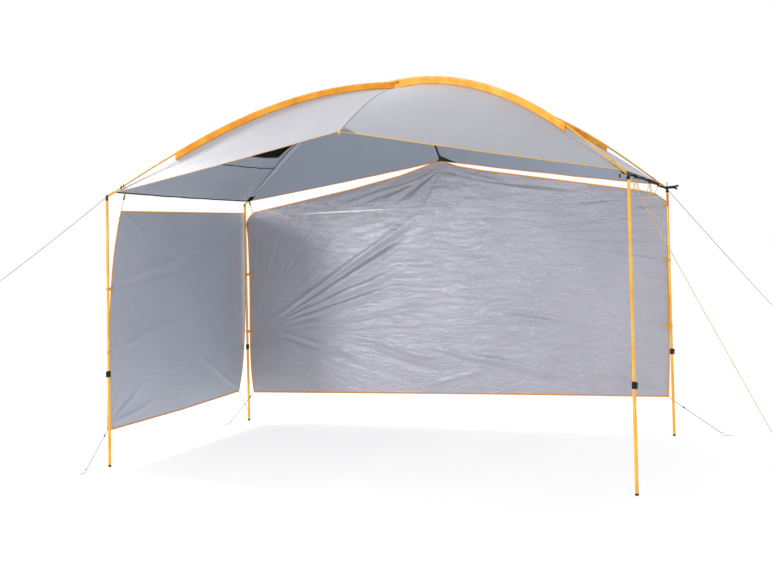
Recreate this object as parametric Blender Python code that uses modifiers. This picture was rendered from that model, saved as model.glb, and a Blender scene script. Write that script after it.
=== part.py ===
"""Tarp shelter: a fabric canopy on two crossing arch poles and four telescoping legs.

Units are metres, +Z up. The origin is on the ground under the middle of the four leg tops, +X runs
along the long front side to the right and +Y runs to the back. The legs splay a little outwards.
Two fabric walls hang outside the legs, one on the left and one at the back.
"""

import math

import bmesh
import bpy
from mathutils import Matrix, Vector

# ---------------------------------------------------------------- driving dimensions
LEG_HEIGHT = 1.900  # ground to the top of a leg
HALF_LENGTH = 1.795  # leg tops, along X
HALF_WIDTH = 1.039  # leg tops, along Y
FOOT_SPLAY = 0.0275  # how far a foot stands outside its leg top, along X and along Y
GAP = 0.0003  # left between pieces that touch

ROUND_SIDES = 16
LOWER_TUBE_RADIUS = 0.0110
UPPER_TUBE_RADIUS = 0.0095
TUBE_WALL = 0.0009
LOWER_TUBE_BOTTOM = 0.0130
LOWER_TUBE_TOP = 0.6615
UPPER_TUBE_BOTTOM = 0.300
UPPER_TUBE_TOP = 1.862
FOOT_RADIUS = 0.0116
FOOT_HEIGHT = 0.0122

CLAMP_BOTTOM = 0.6305
CLAMP_TOP = 0.6735
CLAMP_RADIUS = 0.0140
LEVER_PIVOT_RADIUS = 0.0180  # distance of the lever's pin from the leg's axis
LEVER_PIVOT_HEIGHT = 0.6630
LEVER_LENGTH = 0.0340
LEVER_HALF_WIDTH = 0.0048
LEVER_PIN_RADIUS = 0.0015

SOCKET_TOP = 1.900
SOCKET_CUP_LENGTH = 0.060
SOCKET_CUP_RADIUS = 0.0090
SOCKET_BORE_RADIUS = 0.0071
SOCKET_BORE_START = 0.016

POLE_RADIUS = 0.00625
POLE_FOOT_HEIGHT = 1.893
UPPER_POLE_APEX = 2.703
LOWER_POLE_APEX = 2.686  # this pole passes under the other one
# How sharply an arch turns down towards its leg, by side along X: the right halves stand fuller.
POLE_TURN = {-1: math.radians(38.0), 1: math.radians(60.0)}
POLE_END_SHARE = 0.993  # share of the half span at which a pole ends, inside its socket

SLEEVE_RADIUS = 0.0090
SLEEVE_END_SHARE = 0.77
SLEEVE_SPLIT_SHARE = 0.022
SLEEVE_FABRIC = 0.0006
SEAM_DROP = {-1: 0.056, 1: 0.046}  # from a pole's axis down to the canopy's seam, by side along X
SEAM_DROP_AT_CORNER = 0.010
CANOPY_CORNER_SHARE = 0.972
CANOPY_APEX_HEIGHT = 2.644
FABRIC = 0.0015

WALL_OFFSET = 0.028  # from the leg axes out to the plane of a wall
STRAP_HEIGHT = 0.022
STRAP_OUTER_RADIUS = 0.0122
CORD_RADIUS = 0.0015
TIE_RADIUS = 0.00125
PEG_RADIUS = 0.0022

# name: (side along X, side along Y, direction of the clamp's lever in degrees)
LEGS = {
    "front_left": (-1, -1, 250.0),
    "back_left": (-1, 1, 290.0),
    "front_right": (1, -1, 340.0),
    "back_right": (1, 1, 20.0),
}
# height of each band that holds a wall to a leg
STRAPS = {
    "front_left": (0.800, 1.245),
    "back_left": (0.785, 1.285),
    "back_right": (0.850, 1.350),
}

GOLD = (0.86, 0.50, 0.05)
ORANGE = (0.93, 0.42, 0.05)
BLACK = (0.02, 0.02, 0.022)
CANOPY_GREY = (0.55, 0.58, 0.64)
WALL_GREY = (0.40, 0.40, 0.44)
STEEL = (0.45, 0.43, 0.40)


# ---------------------------------------------------------------- Blender helpers
def clear_scene():
    for obj in list(bpy.data.objects):
        bpy.data.objects.remove(obj, do_unlink=True)


def new_collection(name):
    collection = bpy.data.collections.new(name)
    bpy.context.scene.collection.children.link(collection)
    return collection


def new_material(name, colour, roughness=0.5, metallic=0.0):
    material = bpy.data.materials.new(name)
    material.use_nodes = True
    shader = material.node_tree.nodes["Principled BSDF"]
    shader.inputs["Base Color"].default_value = (*colour, 1.0)
    shader.inputs["Roughness"].default_value = roughness
    shader.inputs["Metallic"].default_value = metallic
    return material


def add_object(name, data, colour, roughness=0.5, metallic=0.0, matrix=None):
    """A named sub-part with its own material, in the shelter's collection."""
    obj = bpy.data.objects.new(name, data)
    SHELTER.objects.link(obj)
    data.materials.append(new_material(name, colour, roughness, metallic))
    if matrix is not None:
        obj.matrix_world = matrix
    return obj


def add_cutter(name, data, matrix=None):
    obj = bpy.data.objects.new(name, data)
    CUTTERS.objects.link(obj)
    obj.hide_render = True
    obj.display_type = "WIRE"
    if matrix is not None:
        obj.matrix_world = matrix
    return obj


def combine(obj, other, operation):
    modifier = obj.modifiers.new(f"{operation.lower()}_{other.name}"[:60], "BOOLEAN")
    modifier.operation = operation
    modifier.solver = "EXACT"
    modifier.object = other


def smooth_round(mesh):
    mesh.shade_smooth()
    mesh.set_sharp_from_angle(angle=math.radians(40.0))


def profile_mesh(name, profile, closed):
    """The outline of a turned piece, as (radius, height) pairs that run down its outer side."""
    mesh = bpy.data.meshes.new(name)
    count = len(profile)
    edges = [(i, i + 1) for i in range(count - 1)]
    if closed:
        edges.append((count - 1, 0))
    mesh.from_pydata([(r, 0.0, z) for r, z in profile], edges, [])
    return mesh


def turn(obj, sides=ROUND_SIDES):
    screw = obj.modifiers.new("turn", "SCREW")
    screw.steps = sides
    screw.render_steps = sides
    screw.use_merge_vertices = True
    screw.merge_threshold = 0.00005
    screw.use_smooth_shade = True


def box_mesh(name, low, high):
    mesh = bpy.data.meshes.new(name)
    shape = bmesh.new()
    size = Vector(high) - Vector(low)
    middle = (Vector(high) + Vector(low)) / 2.0
    place = Matrix.Translation(middle) @ Matrix.Diagonal((*size, 1.0))
    bmesh.ops.create_cube(shape, size=1.0, matrix=place)
    shape.to_mesh(mesh)
    shape.free()
    return mesh


def cylinder_mesh(name, radius, start, end, sides=ROUND_SIDES):
    """A cylinder between two points."""
    start = Vector(start)
    end = Vector(end)
    along = end - start
    turned = along.to_track_quat("Z", "Y").to_matrix().to_4x4()
    place = Matrix.Translation((start + end) / 2.0) @ turned
    mesh = bpy.data.meshes.new(name)
    shape = bmesh.new()
    bmesh.ops.create_cone(
        shape,
        cap_ends=True,
        segments=sides,
        radius1=radius,
        radius2=radius,
        depth=along.length,
        matrix=place,
    )
    shape.to_mesh(mesh)
    shape.free()
    return mesh


def add_tube(name, points, radius, colour, roughness=0.5, metallic=0.0):
    """A solid round bar or cord along a line of points."""
    curve = bpy.data.curves.new(name, "CURVE")
    curve.dimensions = "3D"
    spline = curve.splines.new("POLY")
    spline.points.add(len(points) - 1)
    for point, place in zip(spline.points, points):
        point.co = (*place, 1.0)
    curve.bevel_depth = radius
    curve.bevel_resolution = 2
    curve.use_fill_caps = True
    return add_object(name, curve, colour, roughness, metallic)


def smooth_route(points, steps):
    """Points along a smooth curve through the given ones, with this many steps between each two."""
    route = []
    known = [Vector(p) for p in points]
    known = [2.0 * known[0] - known[1], *known, 2.0 * known[-1] - known[-2]]
    for i in range(1, len(known) - 2):
        before, start, end, after = known[i - 1 : i + 3]
        for step in range(steps):
            t = step / steps
            route.append(
                0.5
                * (
                    2.0 * start
                    + (end - before) * t
                    + (2.0 * before - 5.0 * start + 4.0 * end - after) * t**2
                    + (3.0 * start - before - 3.0 * end + after) * t**3
                )
            )
    route.append(known[-2])
    return route


def add_plate(name, outlines, thickness, matrix, colour, roughness=0.6):
    """A flat piece of even thickness from its outline in X and Y; further outlines are holes."""
    curve = bpy.data.curves.new(name, "CURVE")
    curve.dimensions = "2D"
    curve.fill_mode = "BOTH"
    curve.extrude = thickness / 2.0
    for outline in outlines:
        spline = curve.splines.new("POLY")
        spline.points.add(len(outline) - 1)
        for point, (x, y) in zip(spline.points, outline):
            point.co = (x, y, 0.0, 1.0)
        spline.use_cyclic_u = True
    return add_object(name, curve, colour, roughness, matrix=matrix)


def grid_mesh(name, rows, skipped=()):
    """An open surface through rows of points, all of one length, without the skipped cells."""
    mesh = bpy.data.meshes.new(name)
    across = len(rows[0])
    points = [point for row in rows for point in row]
    faces = []
    for i in range(len(rows) - 1):
        for j in range(across - 1):
            if (i, j) in skipped:
                continue
            corner = i * across + j
            faces.append((corner, corner + across, corner + across + 1, corner + 1))
    mesh.from_pydata(points, [], faces)
    shape = bmesh.new()
    shape.from_mesh(mesh)
    loose = [v for v in shape.verts if not v.link_faces]
    bmesh.ops.delete(shape, geom=loose, context="VERTS")
    shape.to_mesh(mesh)
    shape.free()
    return mesh


def thicken(obj, thickness, offset):
    solidify = obj.modifiers.new("fabric", "SOLIDIFY")
    solidify.thickness = thickness
    solidify.offset = offset


# ---------------------------------------------------------------- where things are
def leg_matrix(name):
    """The leg's own frame: origin at the foot, Z up the leg, X towards the clamp's lever."""
    side_x, side_y, lever = LEGS[name]
    foot = Vector((side_x * (HALF_LENGTH + FOOT_SPLAY), side_y * (HALF_WIDTH + FOOT_SPLAY), 0.0))
    top = Vector((side_x * HALF_LENGTH, side_y * HALF_WIDTH, LEG_HEIGHT))
    up = (top - foot).normalized()
    towards = Vector((math.cos(math.radians(lever)), math.sin(math.radians(lever)), 0.0))
    across = up.cross(towards).normalized()
    towards = across.cross(up)
    axes = Matrix((towards, across, up)).transposed().to_4x4()
    return Matrix.Translation(foot) @ axes


def side_of(share):
    """-1 on the left half of an arch and 1 on the right one."""
    return 1 if share > 0.0 else -1


def arch_slope(share):
    """Slope of an arch before it is scaled to its rise.

    A bent rod pinned at both ends: its angle grows as a sine towards the leg.
    """
    return math.tan(POLE_TURN[side_of(share)] * math.sin(math.pi / 2.0 * abs(share)))


def arch_fall(side, start, end, steps=64):
    """How far the unscaled arch falls between two shares of one half span."""
    width = (end - start) / steps
    return sum(arch_slope(side * (start + (i + 0.5) * width)) for i in range(steps)) * width


def pole_height(share, apex):
    side = side_of(share)
    left = arch_fall(side, abs(share), 1.0) / arch_fall(side, 0.0, 1.0)
    return POLE_FOOT_HEIGHT + (apex - POLE_FOOT_HEIGHT) * left


def pole_end_angle(side, apex):
    """Angle above level at which an arch pole meets its leg."""
    scale = (apex - POLE_FOOT_HEIGHT) / math.hypot(HALF_LENGTH, HALF_WIDTH) / arch_fall(side, 0.0, 1.0)
    return math.atan(arch_slope(side) * scale)


def ease(value, start, end):
    t = min(max((value - start) / (end - start), 0.0), 1.0)
    return t * t * (3.0 - 2.0 * t)


def seam_height(share):
    """The canopy's diagonal seam hangs below the upper pole, and rises to it near the leg."""
    full_drop = SEAM_DROP[side_of(share)]
    drop = full_drop + (SEAM_DROP_AT_CORNER - full_drop) * ease(abs(share), 0.72, 1.0)
    near_apex = UPPER_POLE_APEX - full_drop - CANOPY_APEX_HEIGHT
    near_apex *= 1.0 - ease(abs(share), 0.0, 0.15)
    return pole_height(share, UPPER_POLE_APEX) - drop - near_apex


def diagonal_point(slant, share, height):
    """slant 1 runs from the front left leg to the back right one, -1 from back left to front right."""
    return Vector((share * HALF_LENGTH, slant * share * HALF_WIDTH, height))


def share_steps(start, end, step=0.05):
    """Stations along a half span: both ends and every multiple of the step between them."""
    inner = [i * step for i in range(1, int(1.0 / step))]
    return [start] + [s for s in inner if start + 0.01 < s < end - 0.01] + [end]


# ---------------------------------------------------------------- legs
def tube_profile(radius, low, high):
    inner = radius - TUBE_WALL
    return [(radius, high), (radius, low), (inner, low), (inner, high)]


def build_foot_cap(leg, name):
    """A plug in the tube's end with a flat sole, upright although the leg leans."""
    profile = [
        (0.0, 0.030),
        (0.0088, 0.030),
        (0.0088, FOOT_HEIGHT),
        (FOOT_RADIUS, FOOT_HEIGHT),
        (FOOT_RADIUS, 0.0020),
        (FOOT_RADIUS - 0.0010, 0.0),
        (0.0, 0.0),
    ]
    place = Matrix.Translation(leg.translation)
    mesh = profile_mesh(f"foot_cap_{name}", profile, closed=False)
    turn(add_object(f"foot_cap_{name}", mesh, BLACK, 0.5, matrix=place))


def build_tubes(leg, name):
    lower = profile_mesh(
        f"lower_tube_{name}",
        tube_profile(LOWER_TUBE_RADIUS, LOWER_TUBE_BOTTOM, LOWER_TUBE_TOP),
        closed=True,
    )
    turn(add_object(f"lower_tube_{name}", lower, GOLD, 0.35, 0.2, leg))
    upper = profile_mesh(
        f"upper_tube_{name}",
        tube_profile(UPPER_TUBE_RADIUS, UPPER_TUBE_BOTTOM, UPPER_TUBE_TOP),
        closed=True,
    )
    turn(add_object(f"upper_tube_{name}", upper, GOLD, 0.35, 0.2, leg))


def build_clamp(leg, name):
    """The collar on the lower tube's top, with two ears and the pin that its lever turns on."""
    bevel = 0.0012
    profile = [
        (CLAMP_RADIUS - bevel, CLAMP_TOP),
        (CLAMP_RADIUS, CLAMP_TOP - bevel),
        (CLAMP_RADIUS, CLAMP_BOTTOM + bevel),
        (CLAMP_RADIUS - bevel, CLAMP_BOTTOM),
        (LOWER_TUBE_RADIUS + 0.0004, CLAMP_BOTTOM),
        (LOWER_TUBE_RADIUS + 0.0004, LOWER_TUBE_TOP + 0.0005),
        (UPPER_TUBE_RADIUS + 0.0005, LOWER_TUBE_TOP + 0.0005),
        (UPPER_TUBE_RADIUS + 0.0005, CLAMP_TOP),
    ]
    node = f"clamp_collar_{name}"
    collar = add_object(node, profile_mesh(node, profile, closed=True), BLACK, 0.45, matrix=leg)
    turn(collar)
    ear_inner = LEVER_HALF_WIDTH + 0.0004
    ear_outer = ear_inner + 0.0022
    for side, label in ((1, "left"), (-1, "right")):
        ear = box_mesh(
            f"{node}_ear_{label}",
            (0.0126, min(side * ear_inner, side * ear_outer), LEVER_PIVOT_HEIGHT - 0.0080),
            (0.0216, max(side * ear_inner, side * ear_outer), LEVER_PIVOT_HEIGHT + 0.0050),
        )
        combine(collar, add_cutter(f"{node}_ear_{label}", ear, leg), "UNION")
    pin = cylinder_mesh(
        f"{node}_pin",
        LEVER_PIN_RADIUS,
        (LEVER_PIVOT_RADIUS, -ear_outer + 0.0004, LEVER_PIVOT_HEIGHT),
        (LEVER_PIVOT_RADIUS, ear_outer - 0.0004, LEVER_PIVOT_HEIGHT),
        8,
    )
    combine(collar, add_cutter(f"{node}_pin", pin, leg), "UNION")
    build_lever(leg, name)


def build_lever(leg, name):
    """The cam lever, modelled about its own pin, hanging down beside the collar when it is shut."""
    node = f"clamp_lever_{name}"
    pivot = leg @ Matrix.Translation((LEVER_PIVOT_RADIUS, 0.0, LEVER_PIVOT_HEIGHT))
    barrel = cylinder_mesh(
        node, 0.0035, (0.0, -LEVER_HALF_WIDTH, 0.0), (0.0, LEVER_HALF_WIDTH, 0.0), 12
    )
    lever = add_object(node, barrel, BLACK, 0.45, matrix=pivot)
    blade = box_mesh(
        f"{node}_blade",
        (-0.0012, -LEVER_HALF_WIDTH, -LEVER_LENGTH),
        (0.0030, LEVER_HALF_WIDTH, 0.0),
    )
    combine(lever, add_cutter(f"{node}_blade", blade, pivot), "UNION")
    bore = cylinder_mesh(
        f"{node}_bore",
        LEVER_PIN_RADIUS + 0.0003,
        (0.0, -2.0 * LEVER_HALF_WIDTH, 0.0),
        (0.0, 2.0 * LEVER_HALF_WIDTH, 0.0),
        8,
    )
    combine(lever, add_cutter(f"{node}_bore", bore, pivot), "DIFFERENCE")


def build_corner_socket(leg, name):
    """A plug in the leg's top with an angled cup for the end of the arch pole."""
    side_x, side_y, _ = LEGS[name]
    node = f"corner_socket_{name}"
    spigot = UPPER_TUBE_RADIUS - TUBE_WALL - 0.0005
    profile = [
        (0.0, SOCKET_TOP),
        (UPPER_TUBE_RADIUS - 0.0020, SOCKET_TOP),
        (UPPER_TUBE_RADIUS, SOCKET_TOP - 0.0020),
        (UPPER_TUBE_RADIUS, UPPER_TUBE_TOP + GAP),
        (spigot, UPPER_TUBE_TOP + GAP),
        (spigot, UPPER_TUBE_TOP - 0.032),
        (0.0, UPPER_TUBE_TOP - 0.032),
    ]
    socket = add_object(node, profile_mesh(node, profile, closed=False), BLACK, 0.5, matrix=leg)
    turn(socket)
    middle = Vector((side_x * HALF_LENGTH, side_y * HALF_WIDTH, POLE_FOOT_HEIGHT))
    inwards = Vector((-side_x * HALF_LENGTH, -side_y * HALF_WIDTH, 0.0)).normalized()
    angle = pole_end_angle(side_x, LOWER_POLE_APEX if side_x == side_y else UPPER_POLE_APEX)
    along = inwards * math.cos(angle) + Vector((0.0, 0.0, math.sin(angle)))
    cup = cylinder_mesh(
        f"{node}_cup", SOCKET_CUP_RADIUS, middle - along * 0.001, middle + along * SOCKET_CUP_LENGTH
    )
    combine(socket, add_cutter(f"{node}_cup", cup), "UNION")
    bore = cylinder_mesh(
        f"{node}_bore",
        SOCKET_BORE_RADIUS,
        middle + along * SOCKET_BORE_START,
        middle + along * (SOCKET_CUP_LENGTH + 0.010),
    )
    combine(socket, add_cutter(f"{node}_bore", bore), "DIFFERENCE")


def build_leg_straps(leg, name):
    for height, label in zip(STRAPS[name], ("lower", "upper")):
        profile = [
            (STRAP_OUTER_RADIUS, height + STRAP_HEIGHT / 2.0),
            (STRAP_OUTER_RADIUS, height - STRAP_HEIGHT / 2.0),
            (UPPER_TUBE_RADIUS + 0.0005, height - STRAP_HEIGHT / 2.0),
            (UPPER_TUBE_RADIUS + 0.0005, height + STRAP_HEIGHT / 2.0),
        ]
        node = f"{label}_leg_strap_{name}"
        turn(add_object(node, profile_mesh(node, profile, closed=True), ORANGE, 0.8, matrix=leg))


# ---------------------------------------------------------------- arch poles and sleeves
def build_pole(name, slant, apex):
    half = share_steps(0.02, POLE_END_SHARE)
    half = sorted(set(half) | {SLEEVE_END_SHARE})
    shares = [-s for s in reversed(half)] + [0.0] + half
    points = [diagonal_point(slant, s, pole_height(s, apex)) for s in shares]
    add_tube(name, points, POLE_RADIUS, GOLD, 0.35, 0.2)


def sleeve_section(slant, share, apex, depth):
    """A round top over the pole that narrows to a flat seam below it."""
    centre = diagonal_point(slant, share, pole_height(share, apex))
    side = Vector((HALF_WIDTH, -slant * HALF_LENGTH, 0.0)).normalized()
    up = Vector((0.0, 0.0, 1.0))
    seam_half = 0.0025 + 0.0030 * (1.0 - ease(depth, SLEEVE_RADIUS, 0.030))
    outline = [(seam_half, -depth)]
    for degrees in (0, 45, 90, 135, 180):
        angle = math.radians(degrees)
        outline.append((SLEEVE_RADIUS * math.cos(angle), SLEEVE_RADIUS * math.sin(angle)))
    outline.append((-seam_half, -depth))
    outline.append(outline[0])
    return [centre + side * across + up * height for across, height in outline]


def build_sleeve(name, slant, apex, shares):
    """A fabric tunnel over an arch pole, standing as a fin on the canopy's seam."""
    rows = []
    for share in shares:
        seam_gap = 0.004
        full = pole_height(share, apex) - seam_height(share) - seam_gap
        depth = SLEEVE_RADIUS + (full - SLEEVE_RADIUS) * ease(abs(share), 0.012, SLEEVE_SPLIT_SHARE)
        rows.append(sleeve_section(slant, share, apex, depth))
    mesh = grid_mesh(name, rows)
    shape = bmesh.new()
    shape.from_mesh(mesh)
    bmesh.ops.remove_doubles(shape, verts=shape.verts, dist=0.00001)
    bmesh.ops.recalc_face_normals(shape, faces=shape.faces)
    shape.to_mesh(mesh)
    shape.free()
    thicken(add_object(name, mesh, ORANGE, 0.8), SLEEVE_FABRIC, -1.0)


# ---------------------------------------------------------------- canopy
# Each panel: its two seams as (slant, side), the middle of its eave, and how its middle line falls.
# falls: (height of the eave's middle, exponent of the fall from the apex)
PANELS = {
    "canopy_front": ((1, -1), (-1, 1), (0.0, -1.039), (2.240, 1.5)),
    "canopy_back": ((-1, -1), (1, 1), (0.0, 1.043), (2.188, 1.9)),
    "canopy_left": ((1, -1), (-1, -1), (-1.795, 0.0), (1.918, 1.45)),
    "canopy_right": ((-1, 1), (1, 1), (1.795, 0.0), (1.912, 1.45)),
}
PANEL_INSET = 0.004
PANEL_ROWS = [0.01, 0.13, 0.26, 0.38, 0.50, 0.685, 0.84, 1.0]
PANEL_COLUMNS = [0.0, 0.125, 0.30, 0.5, 0.70, 0.875, 1.0]
VENT_ROWS = (0.50, 0.685)
VENT_COLUMNS = (0.125, 0.875)


def panel_point(name, down, across):
    """A point of a panel: down 0 to 1 from the apex to the eave, across 0 to 1 between its seams."""
    first, second, eave, (eave_height, power) = PANELS[name]
    share = down * CANOPY_CORNER_SHARE
    middle_height = CANOPY_APEX_HEIGHT + (eave_height - CANOPY_APEX_HEIGHT) * down**power
    middle = Vector((eave[0] * down, eave[1] * down, middle_height))
    ends = []
    for slant, side in (first, second):
        end = diagonal_point(slant, side * share, seam_height(side * share))
        inset = (middle - end).normalized() * min(PANEL_INSET, (middle - end).length / 4.0)
        ends.append(end + inset)
    if name in ("canopy_front", "canopy_back"):
        near = ends[0] if across < 0.5 else ends[1]
        return near.lerp(middle, 1.0 - abs(2.0 * across - 1.0))
    level = ends[0].lerp(ends[1], across)
    bow = middle - (ends[0] + ends[1]) / 2.0
    return level + bow * 4.0 * across * (1.0 - across)


def build_panel(name):
    rows = [[panel_point(name, down, across) for across in PANEL_COLUMNS] for down in PANEL_ROWS]
    skipped = set()
    if name == "canopy_left":
        for i, down in enumerate(PANEL_ROWS):
            for j, across in enumerate(PANEL_COLUMNS):
                in_rows = VENT_ROWS[0] <= down < VENT_ROWS[1]
                in_columns = VENT_COLUMNS[0] <= across < VENT_COLUMNS[1]
                if in_rows and in_columns:
                    skipped.add((i, j))
    obj = add_object(name, grid_mesh(name, rows, skipped), CANOPY_GREY, 0.7)
    face_up(obj.data)
    thicken(obj, FABRIC, -1.0)


def face_up(mesh):
    """Turns an open surface so that its normals point upwards."""
    mesh.update()
    if sum(face.normal.z * face.area for face in mesh.polygons) < 0.0:
        mesh.flip_normals()


def build_vent():
    """The dark mesh that fills the opening in the left panel, just inside its edges."""
    edge = 0.006
    rows = []
    inner = [c for c in PANEL_COLUMNS if VENT_COLUMNS[0] < c < VENT_COLUMNS[1]]
    columns = [VENT_COLUMNS[0] + edge, *inner, VENT_COLUMNS[1] - edge]
    for down in (VENT_ROWS[0] + edge, VENT_ROWS[1] - edge):
        rows.append([panel_point("canopy_left", down, across) for across in columns])
    obj = add_object("vent_mesh", grid_mesh("vent_mesh", rows), BLACK, 0.9)
    face_up(obj.data)
    thicken(obj, 0.0008, -1.0)


# ---------------------------------------------------------------- walls
# Outlines run round each wall: along the wall to the right as seen from inside, and height.
LEFT_WALL = [
    (-1.050, 0.246),
    (0.000, 0.250),
    (0.940, 0.272),
    (1.019, 0.493),
    (1.060, 0.760),
    (1.086, 1.100),
    (1.090, 1.590),
    (1.085, 1.822),
    (-0.826, 1.797),
    (-0.870, 1.680),
    (-0.938, 1.434),
    (-0.985, 1.130),
    (-1.020, 0.760),
]
BACK_WALL = [
    (-1.782, 0.245),
    (-0.416, 0.268),
    (0.446, 0.281),
    (1.780, 0.295),
    (1.781, 0.660),
    (1.780, 1.100),
    (1.787, 1.580),
    (1.789, 1.771),
    (1.775, 1.810),
    (1.701, 1.866),
    (1.588, 1.893),
    (0.890, 2.010),
    (0.321, 2.094),
    (0.154, 2.128),
    (0.020, 2.172),
    (-0.060, 2.172),
    (-0.160, 2.137),
    (-0.365, 2.079),
    (-0.815, 1.989),
    (-1.731, 1.824),
    (-1.773, 1.743),
    (-1.780, 1.250),
    (-1.802, 0.708),
    (-1.800, 0.443),
]
WALL_LEAN = math.atan2(FOOT_SPLAY, LEG_HEIGHT)


def wall_matrix(side):
    """Stands a plate drawn in X and Y upright, parallel to the leaning legs and outside them."""
    if side == "left":
        foot = Vector((-(HALF_LENGTH + FOOT_SPLAY + WALL_OFFSET), 0.0, 0.0))
        along = Vector((0.0, 1.0, 0.0))
        up = Vector((math.sin(WALL_LEAN), 0.0, math.cos(WALL_LEAN)))
    else:
        foot = Vector((0.0, HALF_WIDTH + FOOT_SPLAY + WALL_OFFSET, 0.0))
        along = Vector((1.0, 0.0, 0.0))
        up = Vector((0.0, -math.sin(WALL_LEAN), math.cos(WALL_LEAN)))
    axes = Matrix((along, up, along.cross(up))).transposed().to_4x4()
    return Matrix.Translation(foot) @ axes


def build_walls():
    add_plate("left_wall", [LEFT_WALL], FABRIC, wall_matrix("left"), WALL_GREY, 0.5)
    add_plate("back_wall", [BACK_WALL], FABRIC, wall_matrix("back"), WALL_GREY, 0.5)


# ---------------------------------------------------------------- cords
# Guylines run outwards on the diagonals from the corner sockets: azimuth, plan run and fall.
GUYLINES = {
    "front_left": (225.0, 0.773, 0.598),
    "front_right": (315.0, 1.180, 1.416),
    "back_right": (45.0, 1.108, 0.990),
}
GUY_START_RADIUS = UPPER_TUBE_RADIUS + 0.0022
GUY_START_HEIGHT = 1.890
GUY_SAG = 0.006
TENSIONER_LENGTH = 0.034
TENSIONER_HALF_WIDTH = 0.0055
TENSIONER_THICKNESS = 0.0045

# Each tie: its wall, the wall's corner (along the wall, height), and where its peg stands in plan.
TIES = {
    "front_left": ("left", (-1.050, 0.246), (-1.858, -1.296)),
    "back_left_outer": ("left", (0.940, 0.272), (-1.965, 1.348)),
    "back_left_inner": ("back", (-1.782, 0.245), (-1.891, 0.860)),
    "back_right": ("back", (1.780, 0.295), (2.169, 1.156)),
}
TIE_PEG_HEIGHT = 0.016
SLIDER_SHARES = {"front_left": 0.10, "back_left_inner": 0.14, "back_right": 0.28}


def stadium(length, half_width, steps=5):
    """An outline with round ends, centred on the origin along X."""
    reach = length / 2.0 - half_width
    outline = []
    for centre, start in ((reach, -90.0), (-reach, 90.0)):
        for i in range(steps + 1):
            angle = math.radians(start + 180.0 * i / steps)
            outline.append((centre + half_width * math.cos(angle), half_width * math.sin(angle)))
    return outline


def circle_outline(x, radius, sides=8):
    return [
        (x + radius * math.cos(2.0 * math.pi * i / sides), radius * math.sin(2.0 * math.pi * i / sides))
        for i in range(sides)
    ]


def build_guyline(name):
    azimuth, run, fall = GUYLINES[name]
    side_x, side_y, _ = LEGS[name]
    outwards = Vector((math.cos(math.radians(azimuth)), math.sin(math.radians(azimuth)), 0.0))
    down = Vector((0.0, 0.0, -1.0))
    top = Vector((side_x * HALF_LENGTH, side_y * HALF_WIDTH, GUY_START_HEIGHT))
    end = top + outwards * run + down * fall
    along = (end - top).normalized()
    start = top + along * (GUY_START_RADIUS / along.dot(outwards))
    route = []
    for share in (0.0, 0.25, 0.5, 0.75, 1.0):
        sag = GUY_SAG * 4.0 * share * (1.0 - share)
        route.append(start.lerp(end, share) + down * sag)
    add_tube(f"guyline_{name}", smooth_route(route, 4), CORD_RADIUS, GOLD, 0.8)
    across = along.cross(Vector((0.0, 0.0, 1.0))).normalized()
    middle = end + along * (TENSIONER_LENGTH / 2.0 + 0.0006)
    axes = Matrix((along, across, along.cross(across))).transposed().to_4x4()
    holes = [circle_outline(x, 0.0019) for x in (-0.0095, 0.0, 0.0095)]
    add_plate(
        f"guyline_tensioner_{name}",
        [stadium(TENSIONER_LENGTH, TENSIONER_HALF_WIDTH), *holes],
        TENSIONER_THICKNESS,
        Matrix.Translation(middle) @ axes,
        BLACK,
        0.4,
    )


def tie_ends(name):
    wall, (along_wall, height), peg = TIES[name]
    corner = wall_matrix(wall) @ Vector((along_wall, height, 0.0))
    hook = Vector((*peg, TIE_PEG_HEIGHT))
    along = (hook - corner).normalized()
    return corner + along * 0.006, hook - along * (PEG_RADIUS + TIE_RADIUS + 0.0012)


def build_tie(name):
    start, end = tie_ends(name)
    add_tube(
        f"wall_tie_{name}",
        smooth_route([start, start.lerp(end, 0.33), start.lerp(end, 0.67), end], 4),
        TIE_RADIUS,
        ORANGE,
        0.8,
    )
    if name in SLIDER_SHARES:
        along = (end - start).normalized()
        middle = start.lerp(end, SLIDER_SHARES[name])
        profile = [(0.0042, 0.011), (0.0048, 0.0), (0.0042, -0.011), (0.0019, -0.011), (0.0019, 0.011)]
        node = f"tie_slider_{name}"
        place = Matrix.Translation(middle) @ along.to_track_quat("Z", "Y").to_matrix().to_4x4()
        turn(add_object(node, profile_mesh(node, profile, closed=True), BLACK, 0.4, matrix=place), 10)


def build_peg(name):
    """A wire peg lying on the ground, its hooked head towards the wall."""
    _, _, (x, y) = TIES[name]
    start, end = tie_ends(name)
    outwards = Vector((end.x - start.x, end.y - start.y, 0.0)).normalized()
    ground = PEG_RADIUS + GAP
    side_view = [
        (0.070, ground),
        (0.045, ground),
        (0.020, ground + 0.0003),
        (0.006, 0.0045),
        (0.000, 0.0115),
        (0.000, 0.0200),
        (0.004, 0.0265),
        (0.011, 0.0270),
        (0.0155, 0.0215),
    ]
    route = [Vector((x, y, 0.0)) + outwards * reach + Vector((0.0, 0.0, z)) for reach, z in side_view]
    add_tube(f"peg_{name}", smooth_route(route, 2), PEG_RADIUS, STEEL, 0.35, 0.9)


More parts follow.
